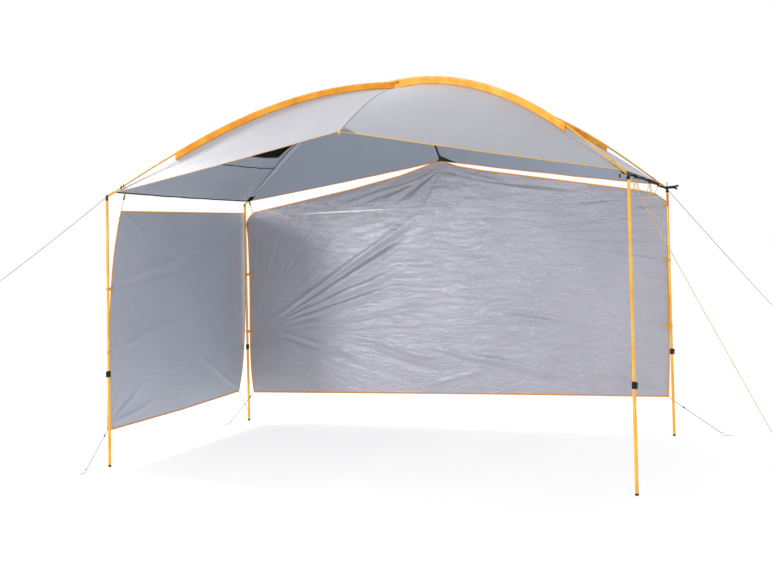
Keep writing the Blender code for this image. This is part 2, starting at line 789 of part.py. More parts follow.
# ---------------------------------------------------------------- the shelter
clear_scene()
SHELTER = new_collection("tarp_shelter")
CUTTERS = new_collection("cutters")
CUTTERS.hide_render = True
for leg_name in LEGS:
    frame = leg_matrix(leg_name)
    build_foot_cap(frame, leg_name)
    build_tubes(frame, leg_name)
    build_clamp(frame, leg_name)
    build_corner_socket(frame, leg_name)
for leg_name in STRAPS:
    build_leg_straps(leg_matrix(leg_name), leg_name)
build_pole("upper_arch_pole", -1, UPPER_POLE_APEX)
build_pole("lower_arch_pole", 1, LOWER_POLE_APEX)
half_sleeve = share_steps(SLEEVE_SPLIT_SHARE, SLEEVE_END_SHARE)
upper_half = [0.011, *half_sleeve]
build_sleeve("upper_sleeve", -1, UPPER_POLE_APEX, [-s for s in reversed(upper_half)] + [0.0] + upper_half)
build_sleeve("lower_sleeve_left", 1, LOWER_POLE_APEX, [-s for s in reversed(half_sleeve)])
build_sleeve("lower_sleeve_right", 1, LOWER_POLE_APEX, half_sleeve)
for panel_name in PANELS:
    build_panel(panel_name)
build_vent()
build_walls()
for guy_name in GUYLINES:
    build_guyline(guy_name)
for tie_name in TIES:
    build_tie(tie_name)
    build_peg(tie_name)
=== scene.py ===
"""Looks of the tarp shelter: cloth, webbing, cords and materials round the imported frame."""

import math

import bpy
import numpy as np
from mathutils import Matrix, Vector, noise


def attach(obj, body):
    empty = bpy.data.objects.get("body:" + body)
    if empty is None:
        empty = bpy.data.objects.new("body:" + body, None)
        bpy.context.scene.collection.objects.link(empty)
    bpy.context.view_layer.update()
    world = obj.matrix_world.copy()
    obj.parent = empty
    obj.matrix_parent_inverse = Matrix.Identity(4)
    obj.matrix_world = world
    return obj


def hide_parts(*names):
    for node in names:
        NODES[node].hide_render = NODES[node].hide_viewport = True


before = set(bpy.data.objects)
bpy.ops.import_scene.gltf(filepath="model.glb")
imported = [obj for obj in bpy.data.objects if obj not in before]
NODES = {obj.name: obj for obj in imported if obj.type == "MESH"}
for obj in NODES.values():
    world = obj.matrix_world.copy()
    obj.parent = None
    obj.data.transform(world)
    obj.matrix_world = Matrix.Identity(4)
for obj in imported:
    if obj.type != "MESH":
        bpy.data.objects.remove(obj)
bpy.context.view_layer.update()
ROOT = "canopy_frame"

# ---------------------------------------------------------------- the frame's own sizes, in metres
LEG_HEIGHT = 1.900
HALF_LENGTH = 1.795
HALF_WIDTH = 1.039
FOOT_SPLAY = 0.0275
LEAN = FOOT_SPLAY / LEG_HEIGHT
POLE_FOOT_HEIGHT = 1.893
UPPER_APEX = 2.703
LOWER_APEX = 2.686
POLE_TURN = {-1: math.radians(38.0), 1: math.radians(60.0)}
SLEEVE_RADIUS = 0.0090
SLEEVE_END = 0.77
SLEEVE_SPLIT = 0.022
CORNER_SHARE = 0.972
CANOPY_APEX = 2.644
SEAM_DROP = {-1: 0.056, 1: 0.046}
SEAM_DROP_AT_CORNER = 0.010
WALL_OFFSET = 0.028
SIDES = {"front_left": (-1, -1), "back_left": (-1, 1), "front_right": (1, -1), "back_right": (1, 1)}
UP = Vector((0.0, 0.0, 1.0))


# ---------------------------------------------------------------- shader helpers
def srgb(r, g, b):
    """A colour as a screen shows it, 0 to 255, as the linear one that shaders take."""
    return tuple((c / 255.0) ** 2.2 for c in (r, g, b))


def shade(colour, share, lift=0.0):
    """A colour made darker, or lighter where share is above one."""
    return tuple(min(1.0, c * share + lift) for c in colour)


class Graph:
    """A material's node tree, built with short calls."""

    def __init__(self, name):
        self.material = bpy.data.materials.new(name)
        self.material.use_nodes = True
        self.tree = self.material.node_tree
        self.shader = self.tree.nodes["Principled BSDF"]
        coords = self.tree.nodes.new("ShaderNodeTexCoord")
        self.uv = coords.outputs["UV"]
        self.where = coords.outputs["Object"]

    def put(self, socket, value):
        if isinstance(value, bpy.types.NodeSocket):
            self.tree.links.new(value, socket)
        elif isinstance(value, tuple) and len(value) == 3 and socket.type == "RGBA":
            socket.default_value = (*value, 1.0)
        else:
            socket.default_value = value

    def node(self, kind, **inputs):
        made = self.tree.nodes.new(f"ShaderNode{kind}")
        for key, value in inputs.items():
            self.put(made.inputs[key], value)
        return made.outputs[0]

    def math(self, operation, a, b=0.5, c=0.5):
        made = self.tree.nodes.new("ShaderNodeMath")
        made.operation = operation
        for socket, value in zip(made.inputs, (a, b, c)):
            self.put(socket, value)
        return made.outputs[0]

    def add(self, a, b):
        return self.math("ADD", a, b)

    def sub(self, a, b):
        return self.math("SUBTRACT", a, b)

    def mul(self, a, b):
        return self.math("MULTIPLY", a, b)

    def clamped(self, a):
        return self.math("MAXIMUM", self.math("MINIMUM", a, 1.0), 0.0)

    def length(self, a, b):
        return self.math("SQRT", self.add(self.mul(a, a), self.mul(b, b)))

    def scaled(self, source, scale, turn=0.0):
        return self.node("Mapping", Vector=source, Scale=scale, Rotation=(0.0, 0.0, turn))

    def noise(self, source, scale, detail=3.0, rough=0.55, distortion=0.0):
        return self.node("TexNoise", Vector=source, Scale=scale, Detail=detail, Roughness=rough,
                         Distortion=distortion)

    def split(self, source):
        made = self.tree.nodes.new("ShaderNodeSeparateXYZ")
        self.put(made.inputs[0], source)
        return made.outputs

    def ramp(self, source, *stops):
        made = self.tree.nodes.new("ShaderNodeValToRGB")
        self.put(made.inputs[0], source)
        elements = made.color_ramp.elements
        while len(elements) < len(stops):
            elements.new(0.5)
        for element, (position, colour) in zip(elements, stops):
            element.position = position
            element.color = (*colour, 1.0)
        return made.outputs[0]

    def mix(self, share, a, b):
        made = self.tree.nodes.new("ShaderNodeMix")
        made.data_type = "RGBA"
        for key, value in (("Factor", share), (6, a), (7, b)):
            self.put(made.inputs[key], value)
        return made.outputs[2]

    def lines(self, coordinate, pitch, width):
        """1 on thin lines across a coordinate in metres, and 0 between them."""
        return self.math("LESS_THAN", self.math("PINGPONG", coordinate, pitch / 2.0), width / 2.0)

    def stitches(self, along):
        """1 along each stitch of a seam, and 0 in the short gaps between them."""
        return self.math("GREATER_THAN", self.math("PINGPONG", along, 0.0030), 0.0009)

    def pulled(self, axes, at_x, at_z, reach, count, depth):
        """Fine creases that spread like rays from a point, and fade out at their reach."""
        dx = self.sub(axes[0], at_x)
        dz = self.sub(axes[1], at_z)
        radius = self.length(dx, dz)
        turn = self.mul(self.math("ARCTAN2", dz, dx), count)
        rays = self.noise(self.node("CombineXYZ", X=self.mul(radius, 1.7), Y=turn), 1.0, 3.0, 0.6)
        near = self.clamped(self.mul(self.sub(reach, radius), 2.0 / reach))
        tall = self.mul(self.math("MINIMUM", radius, 1.0), depth)
        return self.mul(self.mul(rays, near), tall)

    def bump(self, height, strength, distance, **normal):
        return self.node("Bump", Strength=strength, Distance=distance, Height=height, **normal)

    def finish(self, colour, roughness, normal, metallic=0.0, sheen=0.0, specular=0.5, **more):
        values = {"Base Color": colour, "Roughness": roughness, "Normal": normal, "Metallic": metallic,
                  "Sheen Weight": sheen, "Specular IOR Level": specular, **more}
        for key, value in values.items():
            self.put(self.shader.inputs[key], value)
        return self.material


def coated_cloth(name, colour, roughness, metallic=0.0, crinkle=1.0, grid=0.35, dots=0.0, pulls=()):
    """Ripstop polyester: a fine grid of thicker threads, soft mottling and small crinkles.

    pulls are points that the cloth is pulled from, with the reach, number and depth of their creases.
    """
    g = Graph(name)
    axes = g.split(g.uv)
    threads = g.math("MAXIMUM", g.lines(axes[0], 0.0070, 0.0009), g.lines(axes[1], 0.0070, 0.0009))
    tone = g.mix(g.noise(g.uv, 1.6, 4.0), shade(colour, 0.86), shade(colour, 1.10))
    tone = g.mix(g.mul(threads, grid * 0.35), tone, shade(colour, 0.55))
    if dots:
        cell = g.node("TexVoronoi", Vector=g.uv, Scale=55.0, Randomness=0.12)
        tone = g.mix(g.mul(g.math("LESS_THAN", cell, 0.20), dots), tone, shade(colour, 0.62))
    creases = g.noise(g.scaled(g.uv, (7.0, 24.0, 1.0), 0.12), 1.0, 5.0, 0.62, 1.4)
    height = g.add(g.mul(creases, 0.75), g.mul(g.noise(g.uv, 42.0, 4.0, 0.6), 0.16))
    height = g.add(height, g.mul(g.noise(g.uv, 3.0, 2.0), 0.4))
    for pull in pulls:
        height = g.add(height, g.pulled(axes, *pull))
    normal = g.bump(threads, 0.25 * grid, 0.0006, Normal=g.bump(height, 0.60 * crinkle, 0.012))
    rough = g.math("MULTIPLY_ADD", g.noise(g.uv, 60.0, 3.0), 0.16, roughness - 0.08)
    return g.finish(tone, rough, normal, metallic, 0.15)


def woven_tape(name, colour, edge=None, roughness=0.75, pitch=0.0016, stitched=True, sheen=0.25):
    """Webbing or binding tape: diagonal weave, fuzzy tone and a row of stitches along it."""
    g = Graph(name)
    along, across, _ = g.split(g.uv)
    slanted = g.add(along, g.mul(across, 0.020))
    twill = g.mul(g.math("PINGPONG", slanted, pitch / 2.0), 2.0 / pitch)
    tone = g.mix(twill, shade(colour, 0.62), colour)
    tone = g.mix(g.mul(g.noise(g.where, 55.0, 4.0, 0.65), 0.45), tone, shade(colour, 1.25))
    tone = g.mix(g.mul(g.noise(g.where, 6.0, 2.0), 0.35), tone, shade(colour, 0.70))
    if edge is not None:
        rim = g.math("GREATER_THAN", g.math("ABSOLUTE", g.sub(across, 0.5)), 0.40)
        tone = g.mix(rim, tone, edge)
    height = twill
    if stitched:
        row = g.math("LESS_THAN", g.math("ABSOLUTE", g.sub(across, 0.28)), 0.035)
        thread = g.mul(row, g.stitches(along))
        tone = g.mix(g.mul(thread, 0.6), tone, shade(colour, 1.5, 0.03))
        height = g.add(height, thread)
    return g.finish(tone, roughness, g.bump(height, 0.5, 0.0005), 0.0, sheen, 0.5 if sheen else 0.10)


def seam_shine(name):
    """A wall's flat seam: the wall's own tone, and a white stretch that is a painted highlight, in broken
    flecks with a faint glow.
    """
    g = Graph(name)
    along = g.split(g.uv)[0]
    flecks = g.noise(g.scaled(g.uv, (26.0, 3.0, 1.0)), 1.0, 3.0, 0.7)
    rise = g.mul(g.sub(along, 0.42), 4.0)
    fall = g.mul(g.sub(1.34, along), 4.0)
    # painted highlight: white with a faint emission, broken into flecks, from about 0.42 m to 1.34 m along
    # the seam
    broken_glint = g.math("MINIMUM", g.math("MULTIPLY_ADD", flecks, 2.4, -0.35), 1.0)
    painted_highlight = g.mul(g.clamped(g.math("MINIMUM", rise, fall)), broken_glint)
    tone = g.mix(painted_highlight, srgb(184, 184, 194), (1.0, 1.0, 1.0))
    glow = {"Emission Color": (1.0, 1.0, 1.0), "Emission Strength": g.mul(painted_highlight, 0.25)}
    return g.finish(tone, 0.4, g.bump(g.stitches(along), 0.3, 0.0004), 0.0, 0.1, **glow)


def braided_cord(name, colour, tracer):
    """Braid: two sets of strands that cross round the cord, with a tracer thread in one of them."""
    g = Graph(name)
    along, around, _ = g.split(g.uv)
    run, turns = g.mul(along, 220.0), g.mul(around, 4.0)
    one, two = (g.math("PINGPONG", g.math(way, run, turns), 0.5) for way in ("ADD", "SUBTRACT"))
    strands = g.mul(g.math("MAXIMUM", one, two), 2.0)
    fleck = g.math("PINGPONG", g.add(g.mul(along, 34.0), around), 0.5)
    tone = g.mix(strands, shade(colour, 0.5), colour)
    tone = g.mix(g.math("LESS_THAN", fleck, 0.13), tone, tracer)
    tone = g.mix(g.mul(g.noise(g.where, 90.0, 3.0), 0.3), tone, shade(colour, 0.7))
    return g.finish(tone, 0.7, g.bump(strands, 0.6, 0.0004), 0.0, 0.2)


def coated_tube(name, colour, dark, light):
    """Powder coat: fine orange peel, a soft change of tone, scuffs and dull rubbed streaks."""
    g = Graph(name)
    streaks = g.noise(g.scaled(g.where, (260.0, 260.0, 9.0)), 1.0, 3.0, 0.7)
    tone = g.ramp(g.noise(g.where, 7.0, 3.0), (0.30, dark), (0.50, colour), (0.72, light))
    rubbed = g.ramp(streaks, (0.62, (0.0, 0.0, 0.0)), (0.74, (1.0, 1.0, 1.0)))
    tone = g.mix(g.mul(rubbed, 0.22), tone, shade(dark, 0.55))
    rough = g.math("MULTIPLY_ADD", rubbed, 0.22, 0.30)
    normal = g.bump(g.noise(g.where, 900.0, 2.0), 0.18, 0.0003)
    return g.finish(tone, rough, normal, 0.08, **{"Coat Weight": 0.35, "Coat Roughness": 0.18})


def moulded_plastic(name, colour):
    """Black moulding: spark-eroded grain, dust in its hollows and a polished rub here and there."""
    g = Graph(name)
    dusty = g.noise(g.where, 45.0, 4.0, 0.6)
    tone = g.ramp(dusty, (0.35, colour), (0.70, shade(colour, 2.0, 0.004)))
    rough = g.math("MULTIPLY_ADD", dusty, 0.30, 0.34)
    return g.finish(tone, rough, g.bump(g.noise(g.where, 1500.0, 3.0, 0.6), 0.35, 0.0003), 0.0, 0.0, 0.22)


def socket_finish(name):
    """The leg tops' sockets: a dark moulded plug, and a gold cup away from the leg's axis."""
    g = Graph(name)
    axes = g.split(g.where)
    off_x = g.sub(g.math("ABSOLUTE", axes[0]), HALF_LENGTH)
    off_y = g.sub(g.math("ABSOLUTE", axes[1]), HALF_WIDTH)
    cup = g.math("GREATER_THAN", g.length(off_x, off_y), 0.0125)
    mottled = g.noise(g.where, 60.0, 4.0, 0.6)
    gold = g.ramp(mottled, (0.32, srgb(196, 128, 22)), (0.60, srgb(234, 170, 40)))
    dark = g.ramp(mottled, (0.35, srgb(40, 26, 16)), (0.70, srgb(72, 50, 30)))
    rough = g.math("MULTIPLY_ADD", mottled, 0.25, 0.35)
    return g.finish(g.mix(cup, dark, gold), rough, g.bump(g.noise(g.where, 1100.0, 3.0, 0.6), 0.3, 0.0003))


def drawn_wire(name):
    """Steel wire: drawing lines along it, grey tone, and light rust and soil near the ground."""
    g = Graph(name)
    lines = g.noise(g.scaled(g.where, (70.0, 70.0, 900.0)), 1.0, 3.0)
    soil = g.noise(g.where, 60.0, 4.0, 0.65)
    tone = g.ramp(soil, (0.42, (0.34, 0.33, 0.31)), (0.66, (0.23, 0.13, 0.07)))
    metal = g.ramp(soil, (0.45, (1.0, 1.0, 1.0)), (0.70, (0.25, 0.25, 0.25)))
    return g.finish(tone, g.math("MULTIPLY_ADD", soil, 0.5, 0.12), g.bump(lines, 0.3, 0.0003), metal)


def sleeve_cloth(name):
    """Orange plain-woven polyester with ribs, gathers along the pole and a darker sewn foot."""
    g = Graph(name)
    along, around, _ = g.split(g.uv)
    gathers = g.noise(g.scaled(g.uv, (14.0, 1.2, 1.0), 0.35), 1.0, 4.0, 0.6, 0.8)
    ribs = [g.math("PINGPONG", g.mul(axis, count), 0.5) for axis, count in ((along, 900.0), (around, 110.0))]
    weave = g.math("MAXIMUM", *ribs)
    base, deep, pale = srgb(250, 168, 38), srgb(232, 138, 20), srgb(255, 190, 84)
    tone = g.ramp(g.noise(g.where, 9.0, 4.0), (0.30, deep), (0.52, base), (0.78, pale))
    tone = g.mix(g.mul(weave, 0.22), tone, deep)
    foot = g.math("GREATER_THAN", g.math("ABSOLUTE", g.sub(around, 0.5)), 0.455)
    tone = g.mix(g.mul(foot, 0.55), tone, srgb(196, 112, 22))
    height = g.add(gathers, g.mul(weave, 0.04))
    return g.finish(tone, 0.62, g.bump(height, 0.5, 0.006), 0.0, 0.2)


def open_mesh(name):
    """Black knitted netting: even round holes, seen as a dark veil."""
    g = Graph(name)
    cell = g.node("TexVoronoi", Vector=g.uv, Scale=420.0, Randomness=0.0)
    hole = g.math("LESS_THAN", cell, 0.34)
    tone = g.ramp(g.noise(g.uv, 4.0, 3.0), (0.35, srgb(20, 22, 25)), (0.70, srgb(30, 33, 38)))
    g.finish(tone, 0.95, g.bump(cell, 0.3, 0.0004), 0.0, 0.0, 0.04)
    both = g.tree.nodes.new("ShaderNodeMixShader")
    clear = g.node("BsdfTransparent")
    for socket, value in zip(both.inputs, (g.mul(hole, 0.05), g.shader.outputs[0], clear)):
        g.put(socket, value)
    g.put(g.tree.nodes["Material Output"].inputs["Surface"], both.outputs[0])
    return g.material


# points that the walls' cloth is pulled from: along, height, reach of the creases, their number, depth
BACK_PULLS = ((-1.78, 0.79, 2.0, 17.0, 1.1), (-0.03, 2.17, 0.75, 11.0, 1.0), (1.80, 0.30, 0.8, 9.0, 0.6))
LEFT_PULLS = ((-1.05, 0.25, 0.9, 11.0, 0.8), (-0.84, 1.79, 0.6, 9.0, 0.5))

CANOPY_OUTER = coated_cloth("canopy_outer", srgb(162, 163, 171), 0.45, 0.0, 0.35, 0.45, 0.34)
CANOPY_INNER = coated_cloth("canopy_inner", srgb(150, 159, 174), 0.55, 0.0, 0.22, 0.30)
# the left wall's copy of the wall cloth is painted lighter than the back wall's, as painted light for the
# lamp light its inner face doesn't get
WALL_FINISHES = {
    "back": (srgb(168, 167, 177), 0.34, 0.27, 1.15, 0.30, 0.0, BACK_PULLS),
    "left": (srgb(176, 182, 195), 0.42, 0.20, 0.5, 0.30, 0.0, LEFT_PULLS),
}
WALL_CLOTH = {side: coated_cloth(f"{side}_wall_cloth_finish", *look) for side, look in WALL_FINISHES.items()}
BIND_ORANGE = woven_tape("binding_orange", srgb(240, 156, 44))
BIND_YELLOW = woven_tape("binding_yellow", srgb(226, 176, 60))
BIND_PEACH = woven_tape("binding_peach", srgb(206, 148, 74))
BIND_DARK = woven_tape("binding_dark", srgb(60, 58, 54), sheen=0.0)
SEAM_TAPE = woven_tape("seam_tape", srgb(186, 192, 204), srgb(70, 74, 82), 0.6, 0.0012, False)
# the wall seam's material, with a painted highlight over part of its length
WALL_SEAM = seam_shine("wall_seam")
WEB_ORANGE = woven_tape("webbing_orange", srgb(238, 158, 36))
WEB_BLACK = woven_tape("webbing_black", srgb(12, 12, 13), sheen=0.0)
WEB_AMBER = woven_tape("webbing_amber", srgb(196, 118, 30))
WEB_YELLOW = woven_tape("webbing_yellow", srgb(222, 196, 52))
WEB_OLIVE = woven_tape("webbing_olive", srgb(84, 70, 32), sheen=0.0)
PATCH_GREY = woven_tape("patch_grey", srgb(112, 119, 138), None, 0.6, 0.0012, False)
CREASE_TAPE = woven_tape("crease_tape", srgb(178, 179, 187), None, 0.5, 0.0012, False)
CORD_YELLOW = braided_cord("cord_yellow", srgb(216, 160, 36), srgb(240, 206, 110))
CORD_BROWN = braided_cord("cord_brown", srgb(104, 66, 30), srgb(40, 30, 22))
CORD_DARK = braided_cord("cord_dark", srgb(64, 56, 44), srgb(180, 150, 90))
CORD_AMBER = braided_cord("cord_amber", srgb(196, 112, 26), srgb(104, 58, 18))
TUBE_GOLD = coated_tube("tube_gold", srgb(234, 170, 34), srgb(222, 152, 20), srgb(244, 188, 56))
POLE_GOLD = coated_tube("pole_gold", srgb(230, 160, 32), srgb(214, 140, 20), srgb(240, 178, 50))
BLACK_PLASTIC = moulded_plastic("black_plastic_grain", (0.006, 0.006, 0.007))
SOCKET = socket_finish("socket_finish")
WIRE = drawn_wire("peg_wire")
SLEEVE = sleeve_cloth("sleeve_cloth")
NETTING = open_mesh("vent_netting")


# ---------------------------------------------------------------- mesh helpers
def add_mesh(name, points, faces, materials, uvs=None):
    """A piece from points, faces and a UV for each point."""
    mesh = bpy.data.meshes.new(name)
    mesh.from_pydata([tuple(p) for p in points], [], faces)
    for material in materials:
        mesh.materials.append(material)
    if uvs is not None:
        layer = mesh.uv_layers.new(name="UVMap")
        loops = np.zeros(len(mesh.loops), np.int32)
        mesh.loops.foreach_get("vertex_index", loops)
        layer.data.foreach_set("uv", np.asarray(uvs, np.float32)[loops].ravel())
    mesh.polygons.foreach_set("use_smooth", [True] * len(mesh.polygons))
    mesh.update()
    obj = bpy.data.objects.new(name, mesh)
    bpy.context.scene.collection.objects.link(obj)
    return obj


def settle(obj, slot, *nodes):
    """Fixes a piece to the canopy's frame and hides the CAD nodes that it stands in for."""
    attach(obj, ROOT)
    if nodes:
        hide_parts(*nodes)
    return obj


def solidify(obj, thickness, inner=0, offset=-1.0):
    modifier = obj.modifiers.new("cloth", "SOLIDIFY")
    modifier.thickness = thickness
    modifier.offset = offset
    modifier.material_offset = inner
    modifier.material_offset_rim = inner


def grid_faces(rows, columns):
    starts = [i * columns + j for i in range(rows - 1) for j in range(columns - 1)]
    return [(a, a + 1, a + columns + 1, a + columns) for a in starts]


def ring_faces(count, stations, closed=False):
    """Faces between rings of count points, with a cap at each end of an open row of rings."""
    faces = []
    for i in range(stations if closed else stations - 1):
        here, there = i * count, ((i + 1) % stations) * count
        for k in range(count):
            m = (k + 1) % count
            faces.append((here + k, here + m, there + m, there + k))
    if not closed:
        faces.append(tuple(reversed(range(count))))
        faces.append(tuple(range((stations - 1) * count, stations * count)))
    return faces


def sweep(name, path, firsts, seconds, section, material, slot, closed=False):
    """A closed section carried along a path; firsts and seconds are its axes at each point."""
    path = [Vector(p) for p in path]
    lengths = [0.0]
    for a, b in zip(path, path[1:]):
        lengths.append(lengths[-1] + (b - a).length)
    count = len(section)
    points, uvs = [], []
    for p, a, b, along in zip(path, firsts, seconds, lengths):
        for k, (x, y) in enumerate(section):
            points.append(p + a * x + b * y)
            uvs.append((along, k / (count - 1)))
    obj = add_mesh(name, points, ring_faces(count, len(path), closed), [material], uvs)
    face_out(obj.data)
    return settle(obj, slot)


def face_out(mesh):
    """Turns a closed mesh so that its faces point outwards."""
    volume = 0.0
    for polygon in mesh.polygons:
        corners = [mesh.vertices[i].co for i in polygon.vertices]
        for b, c in zip(corners[1:], corners[2:]):
            volume += corners[0].dot(b.cross(c))
    if volume < 0.0:
        mesh.flip_normals()


def tangents(path):
    last = len(path) - 1
    return [(path[min(i + 1, last)] - path[max(i - 1, 0)]).normalized() for i in range(len(path))]


def rope(name, path, radius, material, slot="cord"):
    """A round cord along a path, its section carried on without twist."""
    path = [Vector(p) for p in path]
    firsts, seconds = [], []
    for along in tangents(path):
        if firsts:
            side = firsts[-1] - along * firsts[-1].dot(along)
        else:
            side = UP.cross(along)
            if side.length < 0.05:
                side = Vector((1.0, 0.0, 0.0)).cross(along)
        side.normalize()
        firsts.append(side)
        seconds.append(along.cross(side))
    turns = [2 * math.pi * k / 8 for k in range(8)]
    section = [(radius * math.cos(turn), radius * math.sin(turn)) for turn in turns]
    return sweep(name, path, firsts, seconds, section, material, slot)


def strap(name, path, width_axis, width, thickness, material, slot="webbing"):
    """A flat strap along a path, with rounded edges and its width along one fixed direction."""
    path = [Vector(p) for p in path]
    alongs = tangents(path)
    firsts = [(width_axis - along * width_axis.dot(along)).normalized() for along in alongs]
    seconds = [along.cross(across) for along, across in zip(alongs, firsts)]
    w, t = width / 2.0, thickness / 2.0
    half = [(-w, -t * 0.4), (-w + t, -t), (0.0, -t * 1.05), (w - t, -t), (w, -t * 0.4)]
    section = half + [(-x, -y) for x, y in half]
    return sweep(name, path, firsts, seconds, section, material, slot)


def curve_through(points, steps=6):
    """A smooth line through the given points."""
    known = [Vector(p) for p in points]
    known = [2.0 * known[0] - known[1], *known, 2.0 * known[-1] - known[-2]]
    route = []
    for before, start, end, after in zip(known, known[1:], known[2:], known[3:]):
        slope = end - before
        bend = 2.0 * before - 5.0 * start + 4.0 * end - after
        twist = 3.0 * start - before - 3.0 * end + after
        for step in range(steps):
            t = step / steps
            route.append(0.5 * (2.0 * start + slope * t + bend * t**2 + twist * t**3))
    route.append(known[-2])
    return route


def turned(name, profile, place, material):
    """A turned piece from (radius, height) pairs, closed at both ends on its axis."""
    sides = 20
    points, uvs = [], []
    for r, z in profile:
        for k in range(sides):
            angle = 2.0 * math.pi * k / sides
            points.append(place @ Vector((r * math.cos(angle), r * math.sin(angle), z)))
            uvs.append((z, k / sides))
    obj = add_mesh(name, points, ring_faces(sides, len(profile)), [material], uvs)
    face_out(obj.data)
    obj.data.set_sharp_from_angle(angle=math.radians(50.0))
    return settle(obj, "black_plastic")


# ---------------------------------------------------------------- shapes shared with the frame
def arch_fall_table(side, steps=4000):
    """How much of an arch's rise is left, for shares 0 to 1 of its left (-1) or right (1) half span."""
    u = (np.arange(steps) + 0.5) / steps
    slope = np.tan(POLE_TURN[side] * np.sin(np.pi / 2.0 * u))
    left = np.concatenate([[0.0], np.cumsum(slope)])
    return 1.0 - left / left[-1]


FALL = {side: arch_fall_table(side) for side in (-1, 1)}


def pole_height(share, apex):
    """Height of an arch pole's axis; share runs from -1 at its left leg to 1 at its right one."""
    share = np.asarray(share, float)
    at = np.linspace(0.0, 1.0, len(FALL[1]))
    left, right = (np.interp(np.abs(share), at, FALL[side]) for side in (-1, 1))
    return POLE_FOOT_HEIGHT + (apex - POLE_FOOT_HEIGHT) * np.where(share > 0.0, right, left)


def ease(value, start, end):
    t = np.clip((np.asarray(value, float) - start) / (end - start), 0.0, 1.0)
    return t * t * (3.0 - 2.0 * t)


def seam_height(share):
    """Height of a canopy seam under the upper pole, with the same shares as pole_height."""
    share = np.asarray(share, float)
    full = np.where(share > 0.0, SEAM_DROP[1], SEAM_DROP[-1])
    drop = full + (SEAM_DROP_AT_CORNER - full) * ease(np.abs(share), 0.72, 1.0)
    near_apex = (1.0 - ease(np.abs(share), 0.0, 0.15)) * (UPPER_APEX - full - CANOPY_APEX)
    return pole_height(share, UPPER_APEX) - drop - near_apex


# each panel: slant and side of its two seams, the middle of its eave, that eave's height, and its curve
PANELS = {
    "front": ((1, -1), (-1, 1), (-0.033, -1.039), 2.248, 1.42),
    "back": ((-1, -1), (1, 1), (0.0, 1.043), 2.188, 1.9),
    "left": ((1, -1), (-1, -1), (-1.795, 0.0), 1.918, 1.45),
    "right": ((-1, 1), (1, 1), (1.795, 0.0), 1.912, 1.45),
}


def panel_points(name, down, across):
    """Points of a canopy panel: down 0 to 1 from the apex to the eave, across 0 to 1 between seams."""
    first, second, eave, eave_height, power = PANELS[name]
    down, across = np.broadcast_arrays(np.asarray(down, float), np.asarray(across, float))
    share = down * CORNER_SHARE
    sideways = down**0.4 if name == "front" else down
    height = CANOPY_APEX + (eave_height - CANOPY_APEX) * down**power
    middle = np.stack([eave[0] * sideways, eave[1] * down, height], -1)
    ends = []
    for slant, side in (first, second):
        at = side * share
        ends.append(np.stack([at * HALF_LENGTH, slant * at * HALF_WIDTH, seam_height(at)], -1))
    t = across[..., None]
    if name in ("front", "back"):
        near = np.where(t < 0.5, ends[0], ends[1])
        reach = 1.0 - np.abs(2.0 * t - 1.0)
        flat = near * (1.0 - reach) + middle * reach
        dip = 4.0 * reach * (1.0 - reach)
        flat[..., 2] -= dip[..., 0] * 0.006 * down**1.5
        return flat
    bow = middle - (ends[0] + ends[1]) / 2.0
    return ends[0] * (1.0 - t) + ends[1] * t + bow * 4.0 * t * (1.0 - t)


def ridge_field(x, y, ridges):
    """Heights of pulled folds (x0, y0, x1, y1, height, width), listed under their fades at both ends."""
    total = np.zeros_like(x)
    for (fade_in, fade_out), rows in ridges.items():
        for x0, y0, x1, y1, height, width in rows:
            dx, dy = x1 - x0, y1 - y0
            length = math.hypot(dx, dy)
            t = ((x - x0) * dx + (y - y0) * dy) / length**2
            d = ((x - x0) * dy - (y - y0) * dx) / length
            spread = width * (0.55 + 0.65 * np.clip(t, 0.0, 1.0))
            taper = ease(t, 0.0, fade_in) * (1.0 - ease(t, 1.0 - fade_out, 1.0))
            total += height * taper * np.exp(-((d / spread) ** 2))
    return total


def wobble(x, y, scale, seed):
    """Smooth noise over points in a plane, the same at each run."""
    values = [noise.noise((a * scale, b * scale, seed)) for a, b in zip(x.ravel(), y.ravel())]
    return np.array(values).reshape(x.shape)


def line_length(path):
    return sum((Vector(b) - Vector(a)).length for a, b in zip(path, path[1:]))


def around(angle):
    """The level direction at an angle in radians from the X axis."""
    return Vector((math.cos(angle), math.sin(angle), 0.0))


# ---------------------------------------------------------------- camera, light and floor
def build_camera():
    data = bpy.data.cameras.new("camera")
    data.lens = 52.312
    data.sensor_width = 36.0
    data.sensor_fit = "HORIZONTAL"
    data.clip_end = 100.0
    camera = bpy.data.objects.new("camera", data)
    pitch, roll, yaw = -0.0377, -0.0221, -0.3524
    ahead = Vector((math.sin(yaw) * math.cos(pitch), math.cos(yaw) * math.cos(pitch), math.sin(pitch)))
    level = Vector((math.cos(yaw), -math.sin(yaw), 0.0))
    over = level.cross(ahead)
    right = level * math.cos(roll) + over * math.sin(roll)
    up = over * math.cos(roll) - level * math.sin(roll)
    turn = Matrix((right, up, -ahead)).transposed().to_4x4()
    camera.matrix_world = Matrix.Translation((2.72498, -7.73395, 1.49663)) @ turn
    bpy.context.scene.collection.objects.link(camera)
    bpy.context.scene.camera = camera


def build_lamp(name, where, aim, size, power):
    data = bpy.data.lights.new(name, "AREA")
    data.shape = "RECTANGLE"
    data.size, data.size_y = size
    data.energy = power
    lamp = bpy.data.objects.new(name, data)
    turn = (Vector(aim) - Vector(where)).to_track_quat("-Z", "Y").to_matrix().to_4x4()
    lamp.matrix_world = Matrix.Translation(where) @ turn
    bpy.context.scene.collection.objects.link(lamp)


